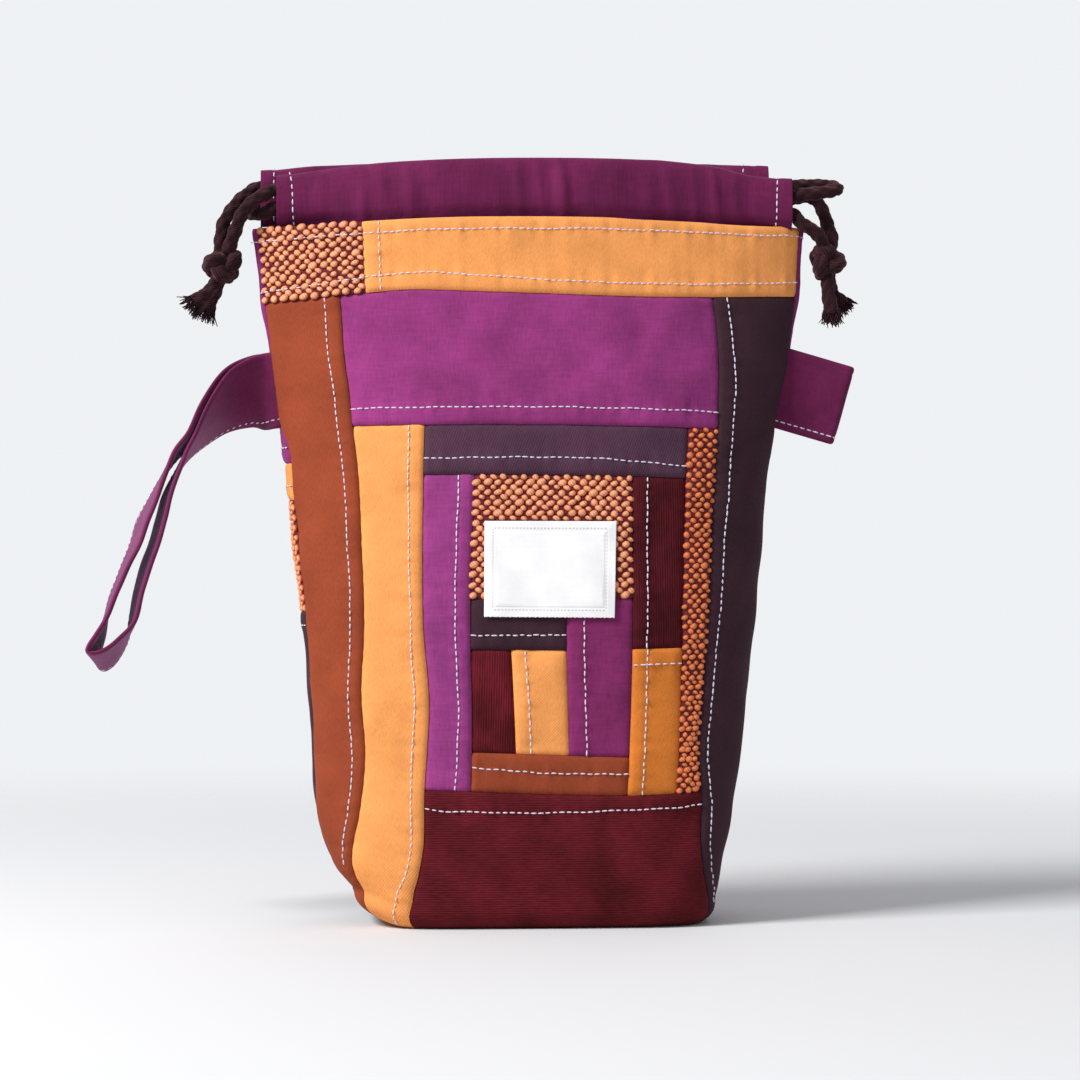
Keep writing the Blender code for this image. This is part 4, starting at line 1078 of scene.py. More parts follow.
def nub_tree(finish):
    """Puts a rounded nub at every point, a little different in size each time."""
    labels = ("Nub width", "Nub height", "Nub depth")
    tree, inputs, output, sockets = new_tree("weave_nubs", labels)
    link = tree.links.new
    dots = tree.nodes.new("GeometryNodeMeshToPoints")
    link(inputs.outputs["Geometry"], dots.inputs["Mesh"])
    nub = tree.nodes.new("GeometryNodeMeshIcoSphere")
    nub.inputs["Radius"].default_value = 0.5
    nub.inputs["Subdivisions"].default_value = 2
    crown = tree.nodes.new("GeometryNodeStoreNamedAttribute")
    crown.data_type = "FLOAT"
    crown.domain = "POINT"
    crown.inputs["Name"].default_value = "crown"
    level = tree.nodes.new("ShaderNodeSeparateXYZ")
    link(tree.nodes.new("GeometryNodeInputPosition").outputs["Position"], level.inputs["Vector"])
    link(nub.outputs["Mesh"], crown.inputs["Geometry"])
    link(level.outputs["Z"], [i for i in crown.inputs if i.name == "Value" and i.enabled][0])
    put = tree.nodes.new("GeometryNodeInstanceOnPoints")
    link(dots.outputs["Points"], put.inputs["Points"])
    link(crown.outputs["Geometry"], put.inputs["Instance"])
    turn = facing(tree, named_vector(tree, "out"), named_vector(tree, "along"))
    link(turn, put.inputs["Rotation"])
    share = tree.nodes.new("GeometryNodeInputNamedAttribute")
    share.data_type = "FLOAT"
    share.inputs["Name"].default_value = "share"
    size = tree.nodes.new("ShaderNodeCombineXYZ")
    for label, axis in zip(labels, "XYZ"):
        link(inputs.outputs[label], size.inputs[axis])
    vary = random_value(tree, inputs, (0.82, 0.8, 0.85), (1.2, 1.2, 1.12))
    math_node = "ShaderNodeVectorMath"
    scaled = calculated(tree, math_node, "MULTIPLY", size.outputs["Vector"], vary)
    shared = calculated(tree, math_node, "SCALE", scaled, share.outputs["Attribute"])
    link(shared, put.inputs["Scale"])
    close_tree(tree, put, output, finish)
    return tree, sockets


NUB_TREES = {tone: nub_tree(finish) for tone, finish in NUB_FINISHES.items()}
NUB_PITCH = 4.05 * MM
NUB_ROW = 1.85 * MM
NUB_SLANT = 0.4
SMALL_SHARE = 0.82
NUB_SIZES = {"light": (3.35 * MM, 2.6 * MM), "deep": (2.75 * MM, 2.3 * MM)}
NUB_DEPTH = 2.1 * MM
LABEL_WIDTH = 48.5 * MM
LABEL_HEIGHT = 35 * MM
LABEL_S = 6.2 * MM
LABEL_T = 131.4 * MM
print("basket weave: nubs every", NUB_PITCH / MM, "mm, rows every", NUB_ROW / MM, "mm")


# %% [markdown]
# The nubs are counted out over each scrap, so whole rows and columns fit between its seams.
# Each is moved by a few random tenths of a millimetre, so that they don't look printed; the
# seed is fixed, so the same bag comes out each time. Under the label there are none, or they would poke through it.

# %% Weave the orange scraps
def weave_points(name):
    """Nub places on a scrap, brickwise: point, out, along the row, and share of full size."""
    side, left, right, low, top, cloth, stitched = SCRAPS[name]
    shake = random.Random(len(name))
    s, t, width, tall = scrap_grid(name, 6 * MM)
    middle = float(s.mean())
    rows = int(round((tall - 0.6 * MM) / NUB_ROW))
    columns = max(2, int(round(width / NUB_PITCH)))
    found, share = [], []
    for row in range(rows):
        big = row % 2 == 0
        v = (row + 0.5) / rows
        for column in range(columns):
            u = (column + (0.25 if big else 0.75)) / columns
            s = middle
            for _ in range(4):
                at = np.array([s])
                t = float((low(at) + (top(at) - low(at)) * v)[0])
                s = float(left(np.array(t)) + (right(np.array(t)) - left(np.array(t))) * u)
            aside, up = shake.uniform(-0.35, 0.35) * MM, shake.uniform(-0.25, 0.25) * MM
            found.append((s + aside, t + up))
            share.append(1.0 if big else SMALL_SHARE)
    s, t = np.array(found).T
    share = np.array(share)
    if name == "weave_block":
        below_label = t < LABEL_T + LABEL_HEIGHT / 2 + 0.2 * MM
        covered = (np.abs(s - LABEL_S) < LABEL_WIDTH / 2 - 0.85 * MM) & below_label
        s, t, share = s[~covered], t[~covered], share[~covered]
    out = outward(side, s, t)
    slant = NUB_SLANT * np.where(share == 1, 0.5, -0.5) * MM
    half = 0.5 * MM
    ahead = cloth_point(side, s + half, t + slant, 0)
    along = ahead - cloth_point(side, s - half, t - slant, 0)
    return cloth_point(side, s, t, cloth_height(name, s, t) + 0.12 * MM), out, along, share


for name, (side, left, right, low, top, cloth, stitched) in SCRAPS.items():
    if cloth != "ground":
        continue
    points, out, along, share = weave_points(name)
    base = guide(name + "_dots", points, out, (), (("along", along), ("share", share)))
    # The weave strip on the right takes the darker yarn, as painted shade.
    tone = "deep" if name == "weave_strip" else "light"
    wide, tall = NUB_SIZES[tone]
    values = {"Nub width": wide, "Nub height": tall, "Nub depth": NUB_DEPTH, "Seed": 7}
    nubs = grown(name + "_nubs", base, *NUB_TREES[tone], values, NUB_FINISHES[tone])
    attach(nubs, "root")
    print(name, "nubs:", len(points), "faces:", len(nubs.data.polygons))

# %% [markdown]
# ## Casings, lining and mouth
# Two cloth tunnels stand over the mouth and carry the cords. They are open at both ends, so
# each is made as a ring of cloth carried along the mouth, with an inner ring for its thickness.
# Soft upright folds come from waves in its depth; they run from the cord down to the band.

# %% Casings
CASING_HEIGHT = 20.5 * MM
CASING_DEPTH = 7 * MM
CASING_WALL = 0.55 * MM
CASING_TURNS = 53
TUCK = 1.3 * MM
HEM_INSET = 5 * MM
HEM_GROOVE = 0.22 * MM
CASING_TOPS = {
    -1: line_mm((
        (-96, 278.2), (-85.4, 279.8), (-73.7, 281.4), (-58, 283), (-42, 283.9), (-26, 284.6),
        (-10, 285.1), (10.5, 285.2), (40, 284.9), (48, 284.8), (64, 283.5), (72, 282.3),
        (80, 280.3), (91.6, 279), (98, 278.7),
    )),
    1: line_mm((
        (-103, 281), (-97, 281.4), (-85, 282.8), (-75, 283.6), (-59, 284.7), (0, 285.6),
        (65, 285.5), (73, 285.1), (90, 284.3),
    )),
}


def mouth_place(side, x):
    """The middle of a casing over the mouth: its depth, and the level of its lower edge."""
    width, depth, shift = HALF_WIDTHS[-1] * MM, HALF_DEPTHS[-1] * MM, SHIFTS[-1] * MM
    form, end = CORNER_FORM[-1], END_SLOPE[-1]
    part = np.minimum(np.abs(x - shift) / width, 1)
    reach = depth * (1 - part**form) ** end
    wave = 0.7 * MM * np.sin(x * 95 + side) * (1 - part**6)
    y = np.maximum(reach - 1.2 * MM - CASING_DEPTH / 2 + wave, CASING_DEPTH / 2 + 0.3 * MM)
    return side * y, CASING_FOOT(x) + (2 * MM if side > 0 else 0) + 0.3 * MM


def casing_fold(side, x, v):
    """Upright folds of a casing, which stand out from the cords: gone at the hems."""
    a = x / MM
    calm = np.clip((1 - np.abs(x) / (97 * MM)) * 4, 0, 1)
    wave = np.sin(a / 1.5 + 0.9 * v + 1.4 * np.sin(a / 11)) * (0.6 + 0.4 * np.sin(a / 9.5 + 1))
    wave = wave + 0.9 * np.sin(a / 2.9 - 0.8 * v + 2 * side) * (0.6 + 0.4 * np.sin(a / 14))
    wave = wave + 0.8 * np.sin(a / 5.7 + v * 1.9) * np.sin(a / 31 + 0.5)
    out = (wave + np.sqrt(wave * wave + 0.3)) / 2
    return 0.75 * MM * out * calm * (1 - 0.45 * np.abs(v))


def casing_ring(side, x, angle, wall):
    """Points round a casing at a place along it."""
    y, low = mouth_place(side, x)
    c, s = np.cos(angle), np.sin(angle)
    half_depth, half_height = CASING_DEPTH / 2 - wall, CASING_HEIGHT / 2 - wall
    flat = np.sign(s) * np.abs(s) ** np.where(s > 0, 2 / 2.6, 2 / 5)
    belly = np.sign(c) * np.abs(c) ** (2 / 3.0)
    below = np.clip((-0.4 - flat) / 0.5, 0, 1)
    tucked = 1 - 0.5 * below * below * (3 - 2 * below)
    dy = belly * (half_depth * tucked + casing_fold(side, x, flat))
    rise = (CASING_TOPS[side](x) - low - CASING_HEIGHT) * np.clip(flat, 0, 1)
    drop = TUCK * np.clip(-flat, 0, 1)
    y = y * (1 - 0.6 * below * np.clip(np.abs(x) / (20 * MM) - 3.5, 0, 1))
    return np.stack([x, y + dy, low + CASING_HEIGHT / 2 + half_height * flat + rise - drop], axis=-1)


def make_casing(name, side, start, end):
    """A casing as a ring of cloth carried from its left end to its right end."""
    length = (end - start) / MM
    middle = np.linspace(1, length - 1, int(length))
    x = start + np.concatenate([[0, 0.5], middle, [length - 0.5, length]]) * MM
    turns = np.linspace(0, 2 * math.pi, CASING_TURNS)[:-1]
    grid_x, grid_a = np.meshgrid(x, turns, indexing="ij")
    hem = np.minimum(grid_x - start, end - grid_x)
    groove = HEM_GROOVE * np.exp(-(((hem - HEM_INSET) / (0.7 * MM)) ** 2))
    groove = groove - 0.25 * MM * (hem < HEM_INSET)
    outer = casing_ring(side, grid_x, grid_a, groove)
    inner = casing_ring(side, grid_x, grid_a, groove + CASING_WALL)
    rows, columns = grid_x.shape
    index = np.arange(rows * columns).reshape(rows, columns)
    after = np.roll(index, -1, axis=1)
    skin = np.stack([index[:-1], after[:-1], after[1:], index[1:]], axis=-1).reshape(-1, 4)
    back = skin[:, ::-1] + rows * columns
    ends = []
    for i in (0, -1):
        ring = (index[i], after[i], after[i] + rows * columns, index[i] + rows * columns)
        ends.append(np.stack(ring, axis=-1))
    faces = np.concatenate([skin, back, *ends])
    around = grid_a / (2 * math.pi) * 2 * (CASING_HEIGHT + CASING_DEPTH)
    place = np.stack([grid_x, around, np.zeros_like(grid_x)], axis=-1).reshape(-1, 3)
    verts = np.concatenate([outer.reshape(-1, 3), inner.reshape(-1, 3)])
    place = np.concatenate([place, place])
    # The casings are in the darkened violet, as painted shade.
    obj = build_mesh(name + "_cloth", verts, faces, place, FINISHES["violet_painted_deep_shade"])
    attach(obj, "root")
    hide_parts(name)
    print(name, "is", round(length), "mm long")


FRONT_CASING = (-96 * MM, 98 * MM)
BACK_CASING = (-102 * MM, 90 * MM)
make_casing("casing_front", -1, *FRONT_CASING)
make_casing("casing_back", 1, *BACK_CASING)


def hem_line(side, face, x_top, x_low):
    """Stitches up the hem of a casing, on its front (-1) or back (1) face."""
    u = np.linspace(0.03, 0.97, 60)
    x = x_low + (x_top - x_low) * u
    angle = math.pi / 2 * (2 * u - 1)
    angle = angle if face > 0 else math.pi - angle
    points = casing_ring(side, x, angle, HEM_GROOVE)
    points[:, 1] += face * (THREAD_WIDTH * 0.3)
    out = np.zeros_like(points)
    out[:, 1] = face
    return points, out


sew("topstitching_casings", [
    hem_line(side, face, x_top, x_low)
    for side, x_top, x_low in (
        (-1, -91 * MM, -89 * MM), (-1, 92.5 * MM, 91.5 * MM),
        (1, -97 * MM, -97 * MM), (1, 80.5 * MM, 80 * MM),
    )
    for face in (-1, 1)
])

# %% [markdown]
# The lining is a second bag inside the first. It is only seen when looking down into the
# mouth, so it stays a smooth cloth with a few soft folds.

# %% Lining
LINING_CLOTH = 0.7 * MM
LINING_ROWS, LINING_COLUMNS = 74, 92
for name, side in (("lining_front", -1), ("lining_back", 1)):
    across, up = np.meshgrid(np.linspace(-1, 1, LINING_COLUMNS), np.linspace(0, 1, LINING_ROWS))
    tall = 263 * MM - FLAT_START
    s = across * (side_edge(FLAT_START + up * tall) - 0.15 * MM)
    t = FLAT_START + (TOP_EDGE(s) - FLAT_START - 0.2 * MM) * up
    crease = folds(side, s * 0.6, t * 0.6) * 0.8 * np.clip(t / (20 * MM), 0, 1)
    rise = np.minimum(crease, 0.1 * MM)
    outer = cloth_point(side, s, t, rise, LINING_INSET)
    inner = cloth_point(side, s, t, rise - LINING_CLOTH, LINING_INSET)
    under = under_rows(side, outer[0])[::-1]
    outer = np.concatenate([under, outer])
    inner = np.concatenate([under + np.array([0, 0, LINING_CLOTH]), inner])
    below = under_place(s[0], len(under), -40 * MM, -5 * MM)
    place = np.concatenate([below, np.stack([s, t, np.zeros_like(s)], axis=-1)])
    obj = mesh_from_grid(name + "_cloth", outer, inner, place, FINISHES["lining"])
    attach(obj, "root")
    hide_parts(*[n for n in nodes if n.startswith(name)])
    print(name, "faces:", len(obj.data.polygons))

# %% [markdown]
# ## Cords
# The drawstrings are soft braided cotton, 5 mm thick. Each is a tube whose radius rises in
# two sets of bumps that spiral opposite ways and cross, which is what a braid looks like from
# outside. The finer yarns are in the finish, which reads the tube's own length and turn from
# `place`.


# %% Cord finish and rope helper
def cord_finish(name, colour):
    """Dark cotton: slanting yarns with painted shade between them, a reddish lit side and fuzz."""
    material, tree, shader, place = new_finish(name, 0.9, 0.22, (0.8, 0.35, 0.4))
    yarns = bands(tree, turned(tree, place, 0.7), 0.75 * MM, 0.8, "X")
    fuzz = clouds(tree, turned(tree, place, 0.7, (1, 0.3, 1)), 0.4 * MM, 3, 1.0)
    blotch = clouds(tree, place, 6 * MM, 2, 5.0)
    base = ramp(tree, blotch, shade(colour, 0.8), shade(colour, 1.5))
    # Painted shade between the yarns.
    lines = ramp(tree, yarns, (0.45, 0.4, 0.45), (1, 1, 1), 0.1, 0.7)
    base = blended(tree, 0.7, base, lines, "MULTIPLY")
    speck = ramp(tree, fuzz, (0.6, 0.55, 0.6), (1, 1, 1), 0.3, 0.65)
    tree.links.new(blended(tree, 0.6, base, speck, "MULTIPLY"), shader.inputs["Base Color"])
    raised(tree, shader, ((yarns, 0.25 * MM, 0.7), (fuzz, 0.12 * MM, 0.5)))
    return material


CORD_FINISH = cord_finish("dark_cotton_cord", CORD)
CORD_DIAMETER = 5 * MM
CORD_SPREAD = 3.4 * MM
BRAID = 6.0 * MM
BRAID_STRANDS = 4
CORD_STEP = 0.6 * MM
CORD_SIDES = 28


def run_along(path):
    """How far each point of a path is from its start, measured along it."""
    return np.concatenate([[0], np.cumsum(np.linalg.norm(np.diff(path, axis=0), axis=1))])


def smooth_path(points, step):
    """Evenly spaced points on a smooth line through the given ones."""
    points = np.array(points, float)
    fine = []
    for i in range(len(points) - 1):
        a, b = points[i], points[i + 1]
        before = points[i - 1] if i else 2 * a - b
        after = points[i + 2] if i + 2 < len(points) else 2 * b - a
        for u in np.linspace(0, 1, 24, endpoint=False):
            m0, m1 = (b - before) / 2, (after - a) / 2
            near = (2 * u**3 - 3 * u**2 + 1) * a + (u**3 - 2 * u**2 + u) * m0
            far = (3 * u**2 - 2 * u**3) * b + (u**3 - u**2) * m1
            fine.append(near + far)
    fine = np.array(fine + [points[-1]])
    run = run_along(fine[:, :3])
    even = np.linspace(0, run[-1], max(3, int(round(run[-1] / step)) + 1))
    return np.stack([np.interp(even, run, fine[:, k]) for k in range(fine.shape[1])], axis=1)


def frames_along(path):
    """Two directions across a path at each point, carried along without twisting."""
    ahead = np.gradient(path, axis=0)
    ahead /= np.linalg.norm(ahead, axis=1, keepdims=True)
    first = np.cross(ahead[0], (0.3, 0.1, 0.95))
    first /= np.linalg.norm(first)
    sides = [first]
    for i in range(1, len(path)):
        v = sides[-1] - ahead[i] * sides[-1].dot(ahead[i])
        sides.append(v / np.linalg.norm(v))
    sides = np.array(sides)
    return sides, np.cross(ahead, sides)


def rope(name, path, diameter=CORD_DIAMETER, start_turn=0.0, radii=None):
    """A braided cord along a path, with rounded ends: its strands cross in a lattice of bumps."""
    path = np.array(path)
    rows, around = len(path), CORD_SIDES
    across, over = [v[:, None, :] for v in frames_along(path)]
    run = run_along(path)
    angle = np.arange(around) * 2 * math.pi / around
    turn = start_turn + run[:, None] * math.pi / BRAID * 2
    turns = angle[None, :] * BRAID_STRANDS / 2
    wave = np.abs(np.sin(turns + turn / 2)) + np.abs(np.sin(turns - turn / 2))
    uneven = 0.025 * np.sin(run / (3.3 * MM) + start_turn)[:, None]
    scale = np.ones(rows) if radii is None else np.array(radii)
    radius = diameter / 2 * (0.76 + 0.17 * wave + uneven) * scale[:, None]
    c, s = np.cos(angle)[None, :, None], np.sin(angle)[None, :, None]
    ring = path[:, None, :] + radius[..., None] * (c * across + s * over)
    index = np.arange(rows * around).reshape(rows, around)
    after = np.roll(index, -1, axis=1)
    faces = np.stack([index[:-1], after[:-1], after[1:], index[1:]], axis=-1)
    faces = faces.reshape(-1, 4).tolist()
    tips = [path[0] - (path[1] - path[0]) * 0.4, path[-1] + (path[-1] - path[-2]) * 0.4]
    for i, centre in ((0, rows * around), (-1, rows * around + 1)):
        faces += [[int(index[i][k]), int(after[i][k]), centre] for k in range(around)]
    verts = np.concatenate([ring.reshape(-1, 3), np.array(tips)])
    place = np.zeros((rows * around + 2, 3))
    place[:-2, 0] = np.repeat(run, around)
    place[:-2, 1] = np.tile(angle * diameter / 2, rows)
    return build_mesh(name + "_rope", verts, faces, place, CORD_FINISH)


print("cord:", CORD_DIAMETER / MM, "mm thick, one braid turn each", BRAID / MM, "mm")

# %% [markdown]
# A route goes from knot to knot through both casings. The two strands in a casing lie one over
# the other, so that they don't touch. Where a cord is in the open, its points come from the
# photo; inside the casings it follows the middle of the cloth.

# %% Cord routes
def in_mm(*points):
    """Points given in millimetres, in metres."""
    return [np.array(p) * MM for p in points]


def beside(centre, *offset):
    """A point that is some millimetres away from another."""
    return centre + np.array(offset) * MM


LEFT_KNOT, RIGHT_KNOT = in_mm((-115.8, -1, 245), (111.9, -1, 247.8))


def strand(side, lift, start, end):
    """A cord's line inside a casing, left to right."""
    count = round((end - start) / (12 * MM))
    x = start + (end - start) * np.arange(count + 1) / count
    y, low = mouth_place(side, x)
    return list(np.stack([x, y, low + CASING_HEIGHT / 2 + lift], axis=-1))


front_high = strand(-1, CORD_SPREAD, *FRONT_CASING)
back_high = strand(1, CORD_SPREAD, *BACK_CASING)
front_low = strand(-1, -CORD_SPREAD, *FRONT_CASING)
back_low = strand(1, -CORD_SPREAD, *BACK_CASING)
front_left = in_mm((-99.6, -5, 271.8), (-104, -6.8, 269), (-108.4, -6.8, 264.4), (-111, -5.4, 258.6))
back_left = in_mm((-106.6, 3.2, 272.6), (-110.8, 2.6, 268.8), (-114.4, 1.8, 263.8), (-116.4, 1, 259.2))
turn_right = in_mm(
    (102, -4.4, 272.9), (109, -4.6, 273.6), (114.4, -3.2, 274.8), (116, 0.4, 275.8),
    (113.6, 4, 277), (107, 5, 277.4), (98, 4.2, 276.8),
)
front_right = in_mm((101.5, -5, 262), (106, -5, 259.4), (109, -4.4, 256.4))
back_right = in_mm(
    (95.5, 6.4, 270.6), (102.5, 8.6, 273.4), (108.6, 8.4, 272.8),
    (111.6, 6.6, 267.8), (113.2, 4.6, 262), (114.4, 2.4, 257),
)
turn_left = in_mm((-100, -3.4, 264.6), (-103.6, -1.8, 264.4), (-105.8, 1, 265), (-105, 3.6, 266.6))
left_route = [
    beside(LEFT_KNOT, 1.5, -2, 4.5), *front_left[::-1], *front_high, *turn_right,
    *back_high[::-1], *back_left, beside(LEFT_KNOT, -1.5, 1.5, 4.5),
]
right_route = [
    beside(RIGHT_KNOT, -1.5, -2, 5), *front_right[::-1], *front_low[::-1], *turn_left,
    *back_low, *back_right, beside(RIGHT_KNOT, 1.5, 1.5, 5),
]
print("route points:", len(left_route), "left and", len(right_route), "right")

# %% [markdown]
# An overhand knot that is pulled tight looks like a trefoil from the front: three turns of
# cord, each over the next. So the knot is a short closed line with that form, made with the
# same rope helper as the cords.

# %% Knots
KNOT_CORD = 5.9 * MM


def knot_line(centre, size, lean):
    """The line of an overhand knot, pulled tight: a trefoil with its ends tucked in."""
    turn = np.linspace(0, 2 * math.pi, 130)
    x = np.sin(turn) + 2 * np.sin(2 * turn)
    y = -np.sin(3 * turn)
    z = np.cos(turn) - 2 * np.cos(2 * turn)
    path = np.stack([x / 3 * size[0], y * size[1], z / 3 * size[2]], axis=1)
    c, s = math.cos(lean), math.sin(lean)
    x, y, z = path.T
    return np.stack([x * c - z * s, y, x * s + z * c], axis=1) + centre


def make_knot(name, centre, size, lean):
    """One knot of a drawstring."""
    obj = rope(name, knot_line(centre, size, lean), KNOT_CORD, start_turn=1.0)
    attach(obj, "root")
    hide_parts(name)
    return obj


knots = {
    "left": make_knot("knot_left", LEFT_KNOT, (5.3 * MM, 3.3 * MM, 4.0 * MM), 0.35),
    "right": make_knot("knot_right", RIGHT_KNOT, (4.4 * MM, 3.3 * MM, 4.6 * MM), -0.4),
}
print("knots:", ", ".join(knots))

# %% [markdown]
# The cut ends have frayed: the braid opens and single yarns splay out. A bundle of yarns is a
# repeated thing again, so one thin bent yarn is put at many points of a disc by Geometry
# Nodes, each turned and stretched a little differently by a fixed seed.


# %% Frayed ends
def yarn_mesh():
    """One thin bent yarn, tapering to its tip; it is one unit long and is scaled by its tree."""
    rows, around = 8, 5
    verts, faces = [], []
    for j in range(rows):
        f = j / (rows - 1)
        bend = 0.22 * f * f
        radius = 0.055 * (1 - 0.5 * f)
        for k in range(around):
            a = 2 * math.pi * k / around
            sway = 0.05 * math.sin(f * 5)
            verts.append((bend + radius * math.cos(a), sway + radius * math.sin(a), f))
    for j in range(rows - 1):
        for k in range(around):
            a, b = j * around + k, j * around + (k + 1) % around
            faces.append((a, b, b + around, a + around))
    faces.append(tuple(range(around))[::-1])
    faces.append(tuple((rows - 1) * around + k for k in range(around)))
    mesh = bpy.data.meshes.new("yarn")
    mesh.from_pydata(verts, [], faces)
    obj = bpy.data.objects.new("yarn", mesh)
    bpy.context.scene.collection.objects.link(obj)
    return obj


def fray_tree(finish, yarn):
    """Puts the yarn at every point, turned out of the cord and splayed by a random turn."""
    tree, inputs, output, sockets = new_tree("frayed_yarns", ("Yarn length", "Splay"))
    link = tree.links.new
    dots = tree.nodes.new("GeometryNodeMeshToPoints")
    link(inputs.outputs["Geometry"], dots.inputs["Mesh"])
    single = tree.nodes.new("GeometryNodeObjectInfo")
    single.inputs["Object"].default_value = yarn
    put = tree.nodes.new("GeometryNodeInstanceOnPoints")
    link(dots.outputs["Points"], put.inputs["Points"])
    link(single.outputs["Geometry"], put.inputs["Instance"])
    up = tree.nodes.new("FunctionNodeAlignRotationToVector")
    up.axis = "Z"
    link(named_vector(tree, "out"), up.inputs["Vector"])
    turn = random_value(tree, inputs, (-1, -1, 0), (1, 1, 6.28))
    splay = tree.nodes.new("ShaderNodeCombineXYZ")
    link(inputs.outputs["Splay"], splay.inputs["X"])
    link(inputs.outputs["Splay"], splay.inputs["Y"])
    splay.inputs["Z"].default_value = 1
    bent = calculated(tree, "ShaderNodeVectorMath", "MULTIPLY", turn, splay.outputs["Vector"])
    join = tree.nodes.new("FunctionNodeRotateRotation")
    join.rotation_space = "LOCAL"
    link(up.outputs["Rotation"], join.inputs["Rotation"])
    link(bent, join.inputs["Rotate By"])
    link(join.outputs["Rotation"], put.inputs["Rotation"])
    vary = random_value(tree, inputs, 0.6, 1.15)
    length = inputs.outputs["Yarn length"]
    link(calculated(tree, "ShaderNodeMath", "MULTIPLY", length, vary), put.inputs["Scale"])
    close_tree(tree, put, output, finish)
    return tree, sockets


yarn = yarn_mesh()
FRAY, FRAY_SOCKETS = fray_tree(CORD_FINISH, yarn)


BUNDLE_RADIUS = 2.6 * MM
YARNS = 90


def frayed_end(name, knot, route, seed):
    """A short tail of cord that opens into yarns."""
    path = smooth_path([knot] + in_mm(*route), CORD_STEP)
    last = int(len(path) * 0.8)
    swell = np.interp(np.arange(last), (0, last * 0.55, last - 1), (0.92, 1.0, 1.22))
    tail = rope(name, path[:last], start_turn=seed, radii=swell)
    ahead = path[last - 1] - path[last - 6]
    ahead /= np.linalg.norm(ahead)
    shake = random.Random(seed)
    side = np.cross(ahead, (0, 1, 0))
    side /= np.linalg.norm(side)
    over = np.cross(ahead, side)
    dots, outs = [], []
    for _ in range(YARNS):
        radius = BUNDLE_RADIUS * math.sqrt(shake.random())
        angle = shake.uniform(0, 2 * math.pi)
        away = side * math.cos(angle) + over * math.sin(angle)
        dots.append(path[last - 1] + away * radius - ahead * 1.6 * MM)
        outs.append(ahead + away * (0.38 * radius / BUNDLE_RADIUS))
    base = guide(name + "_dots", dots, np.array(outs))
    values = {"Yarn length": 5.6 * MM, "Splay": 0.16, "Seed": seed}
    yarns = grown(name + "_yarns", base, FRAY, FRAY_SOCKETS, values, CORD_FINISH)
    for piece in (tail, yarns):
        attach(piece, "root")
    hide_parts(name)
    return [tail, yarns]


ends = {"left": [], "right": []}
for end, knot, offset, route, seed in (
    ("left_front", LEFT_KNOT, (-2, -1, -4),
     ((-120.5, -3, 236), (-125, -4, 232), (-129.6, -5, 228)), 3),
    ("left_back", LEFT_KNOT, (-1, 1, -4),
     ((-119, 4, 235.5), (-121.5, 4.5, 230.5), (-123.5, 5, 224.5)), 8),
    ("right_front", RIGHT_KNOT, (0, -1, -4),
     ((112, -3, 236.5), (112.8, -4, 231), (113, -5, 223.5)), 5),
    ("right_back", RIGHT_KNOT, (1, 1, -4),
     ((114.6, 4, 237), (118, 4.6, 233), (121.4, 5, 229)), 12),
):
    pieces = frayed_end("frayed_end_" + end, beside(knot, *offset), route, seed)
    ends[end.split("_")[0]] += pieces
    print("frayed_end_" + end, "faces:", sum(len(piece.data.polygons) for piece in pieces))
bpy.data.objects.remove(yarn)

# %% [markdown]
# Each drawstring is the same rope along its route.

# %% Drawstrings
for name, route, exit_spot, which in (
    ("drawstring_left", left_route, front_high[0], "left"),
    ("drawstring_right", right_route, front_low[-1], "right"),
):
    path = smooth_path(route, CORD_STEP)
    obj = rope(name, path)
    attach(obj, "root")
    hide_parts(name)

# %% [markdown]
# ## Straps and label
# The wrist loop is a long strap, folded in half and caught in the left side seam; the short
# loop on the right is the same strap cut short. Both are a ribbon carried along a line, whose
# width direction turns as the strap twists, with rounded edges where the cloth folds over.

# %% Strap helper
STRAP_WIDTH = 28.5 * MM
STRAP_CLOTH = 1.8 * MM
STRAP_SPACE = 2.9 * MM
STRAP_GROOVE = 0.22 * MM
EDGE_STOPS = np.array([-0.5, -0.493, -0.48, -0.45])


def strap(name, stations, finish, stitch_inset=3.2 * MM, strap_width=STRAP_WIDTH):
    """A flat strap with folded edges; returns its two stitch lines at one edge, and its length."""
    path = stations[:, :3]
    wide = stations[:, 3:] / np.linalg.norm(stations[:, 3:], axis=1, keepdims=True)
    ahead = np.gradient(path, axis=0)
    ahead /= np.linalg.norm(ahead, axis=1, keepdims=True)
    flat = np.cross(ahead, wide)
    flat /= np.linalg.norm(flat, axis=1, keepdims=True)
    run = run_along(path)
    stops = np.concatenate([EDGE_STOPS, np.linspace(-0.41, 0.41, 17), -EDGE_STOPS[::-1]])
    across = stops * strap_width
    edge = strap_width / 2 - np.abs(across)
    half = STRAP_CLOTH / 2 * np.clip(edge / (1.0 * MM), 0.0, 1) ** 0.5
    half = half - STRAP_GROOVE * np.exp(-(((edge - stitch_inset) / (0.6 * MM)) ** 2))
    along = run[:, None] / MM
    crease = 0.12 * MM * np.sin(along / 3.1 + across[None, :] / MM / 4) * np.sin(along / 11)
    line = path[:, None] + wide[:, None] * across[None, :, None]
    outer = line + flat[:, None] * (half[None, :] + crease)[..., None]
    inner = line - flat[:, None] * (half[None, :] - crease)[..., None]
    place = np.zeros((len(run), len(across), 3))
    place[..., 0] = run[:, None]
    place[..., 1] = across
    obj = mesh_from_grid(name + "_strap", outer, inner, place, finish)
    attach(obj, "root")
    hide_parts(name)
    lift = STRAP_CLOTH / 2 - 0.16 * MM
    edge_line = path - wide * (strap_width / 2 - stitch_inset)
    lines = [(edge_line + flat * face * lift, flat * face) for face in (-1, 1)]
    return lines, float(run[-1])


print("strap:", STRAP_WIDTH / MM, "mm wide, in two layers", STRAP_SPACE / MM, "mm apart")

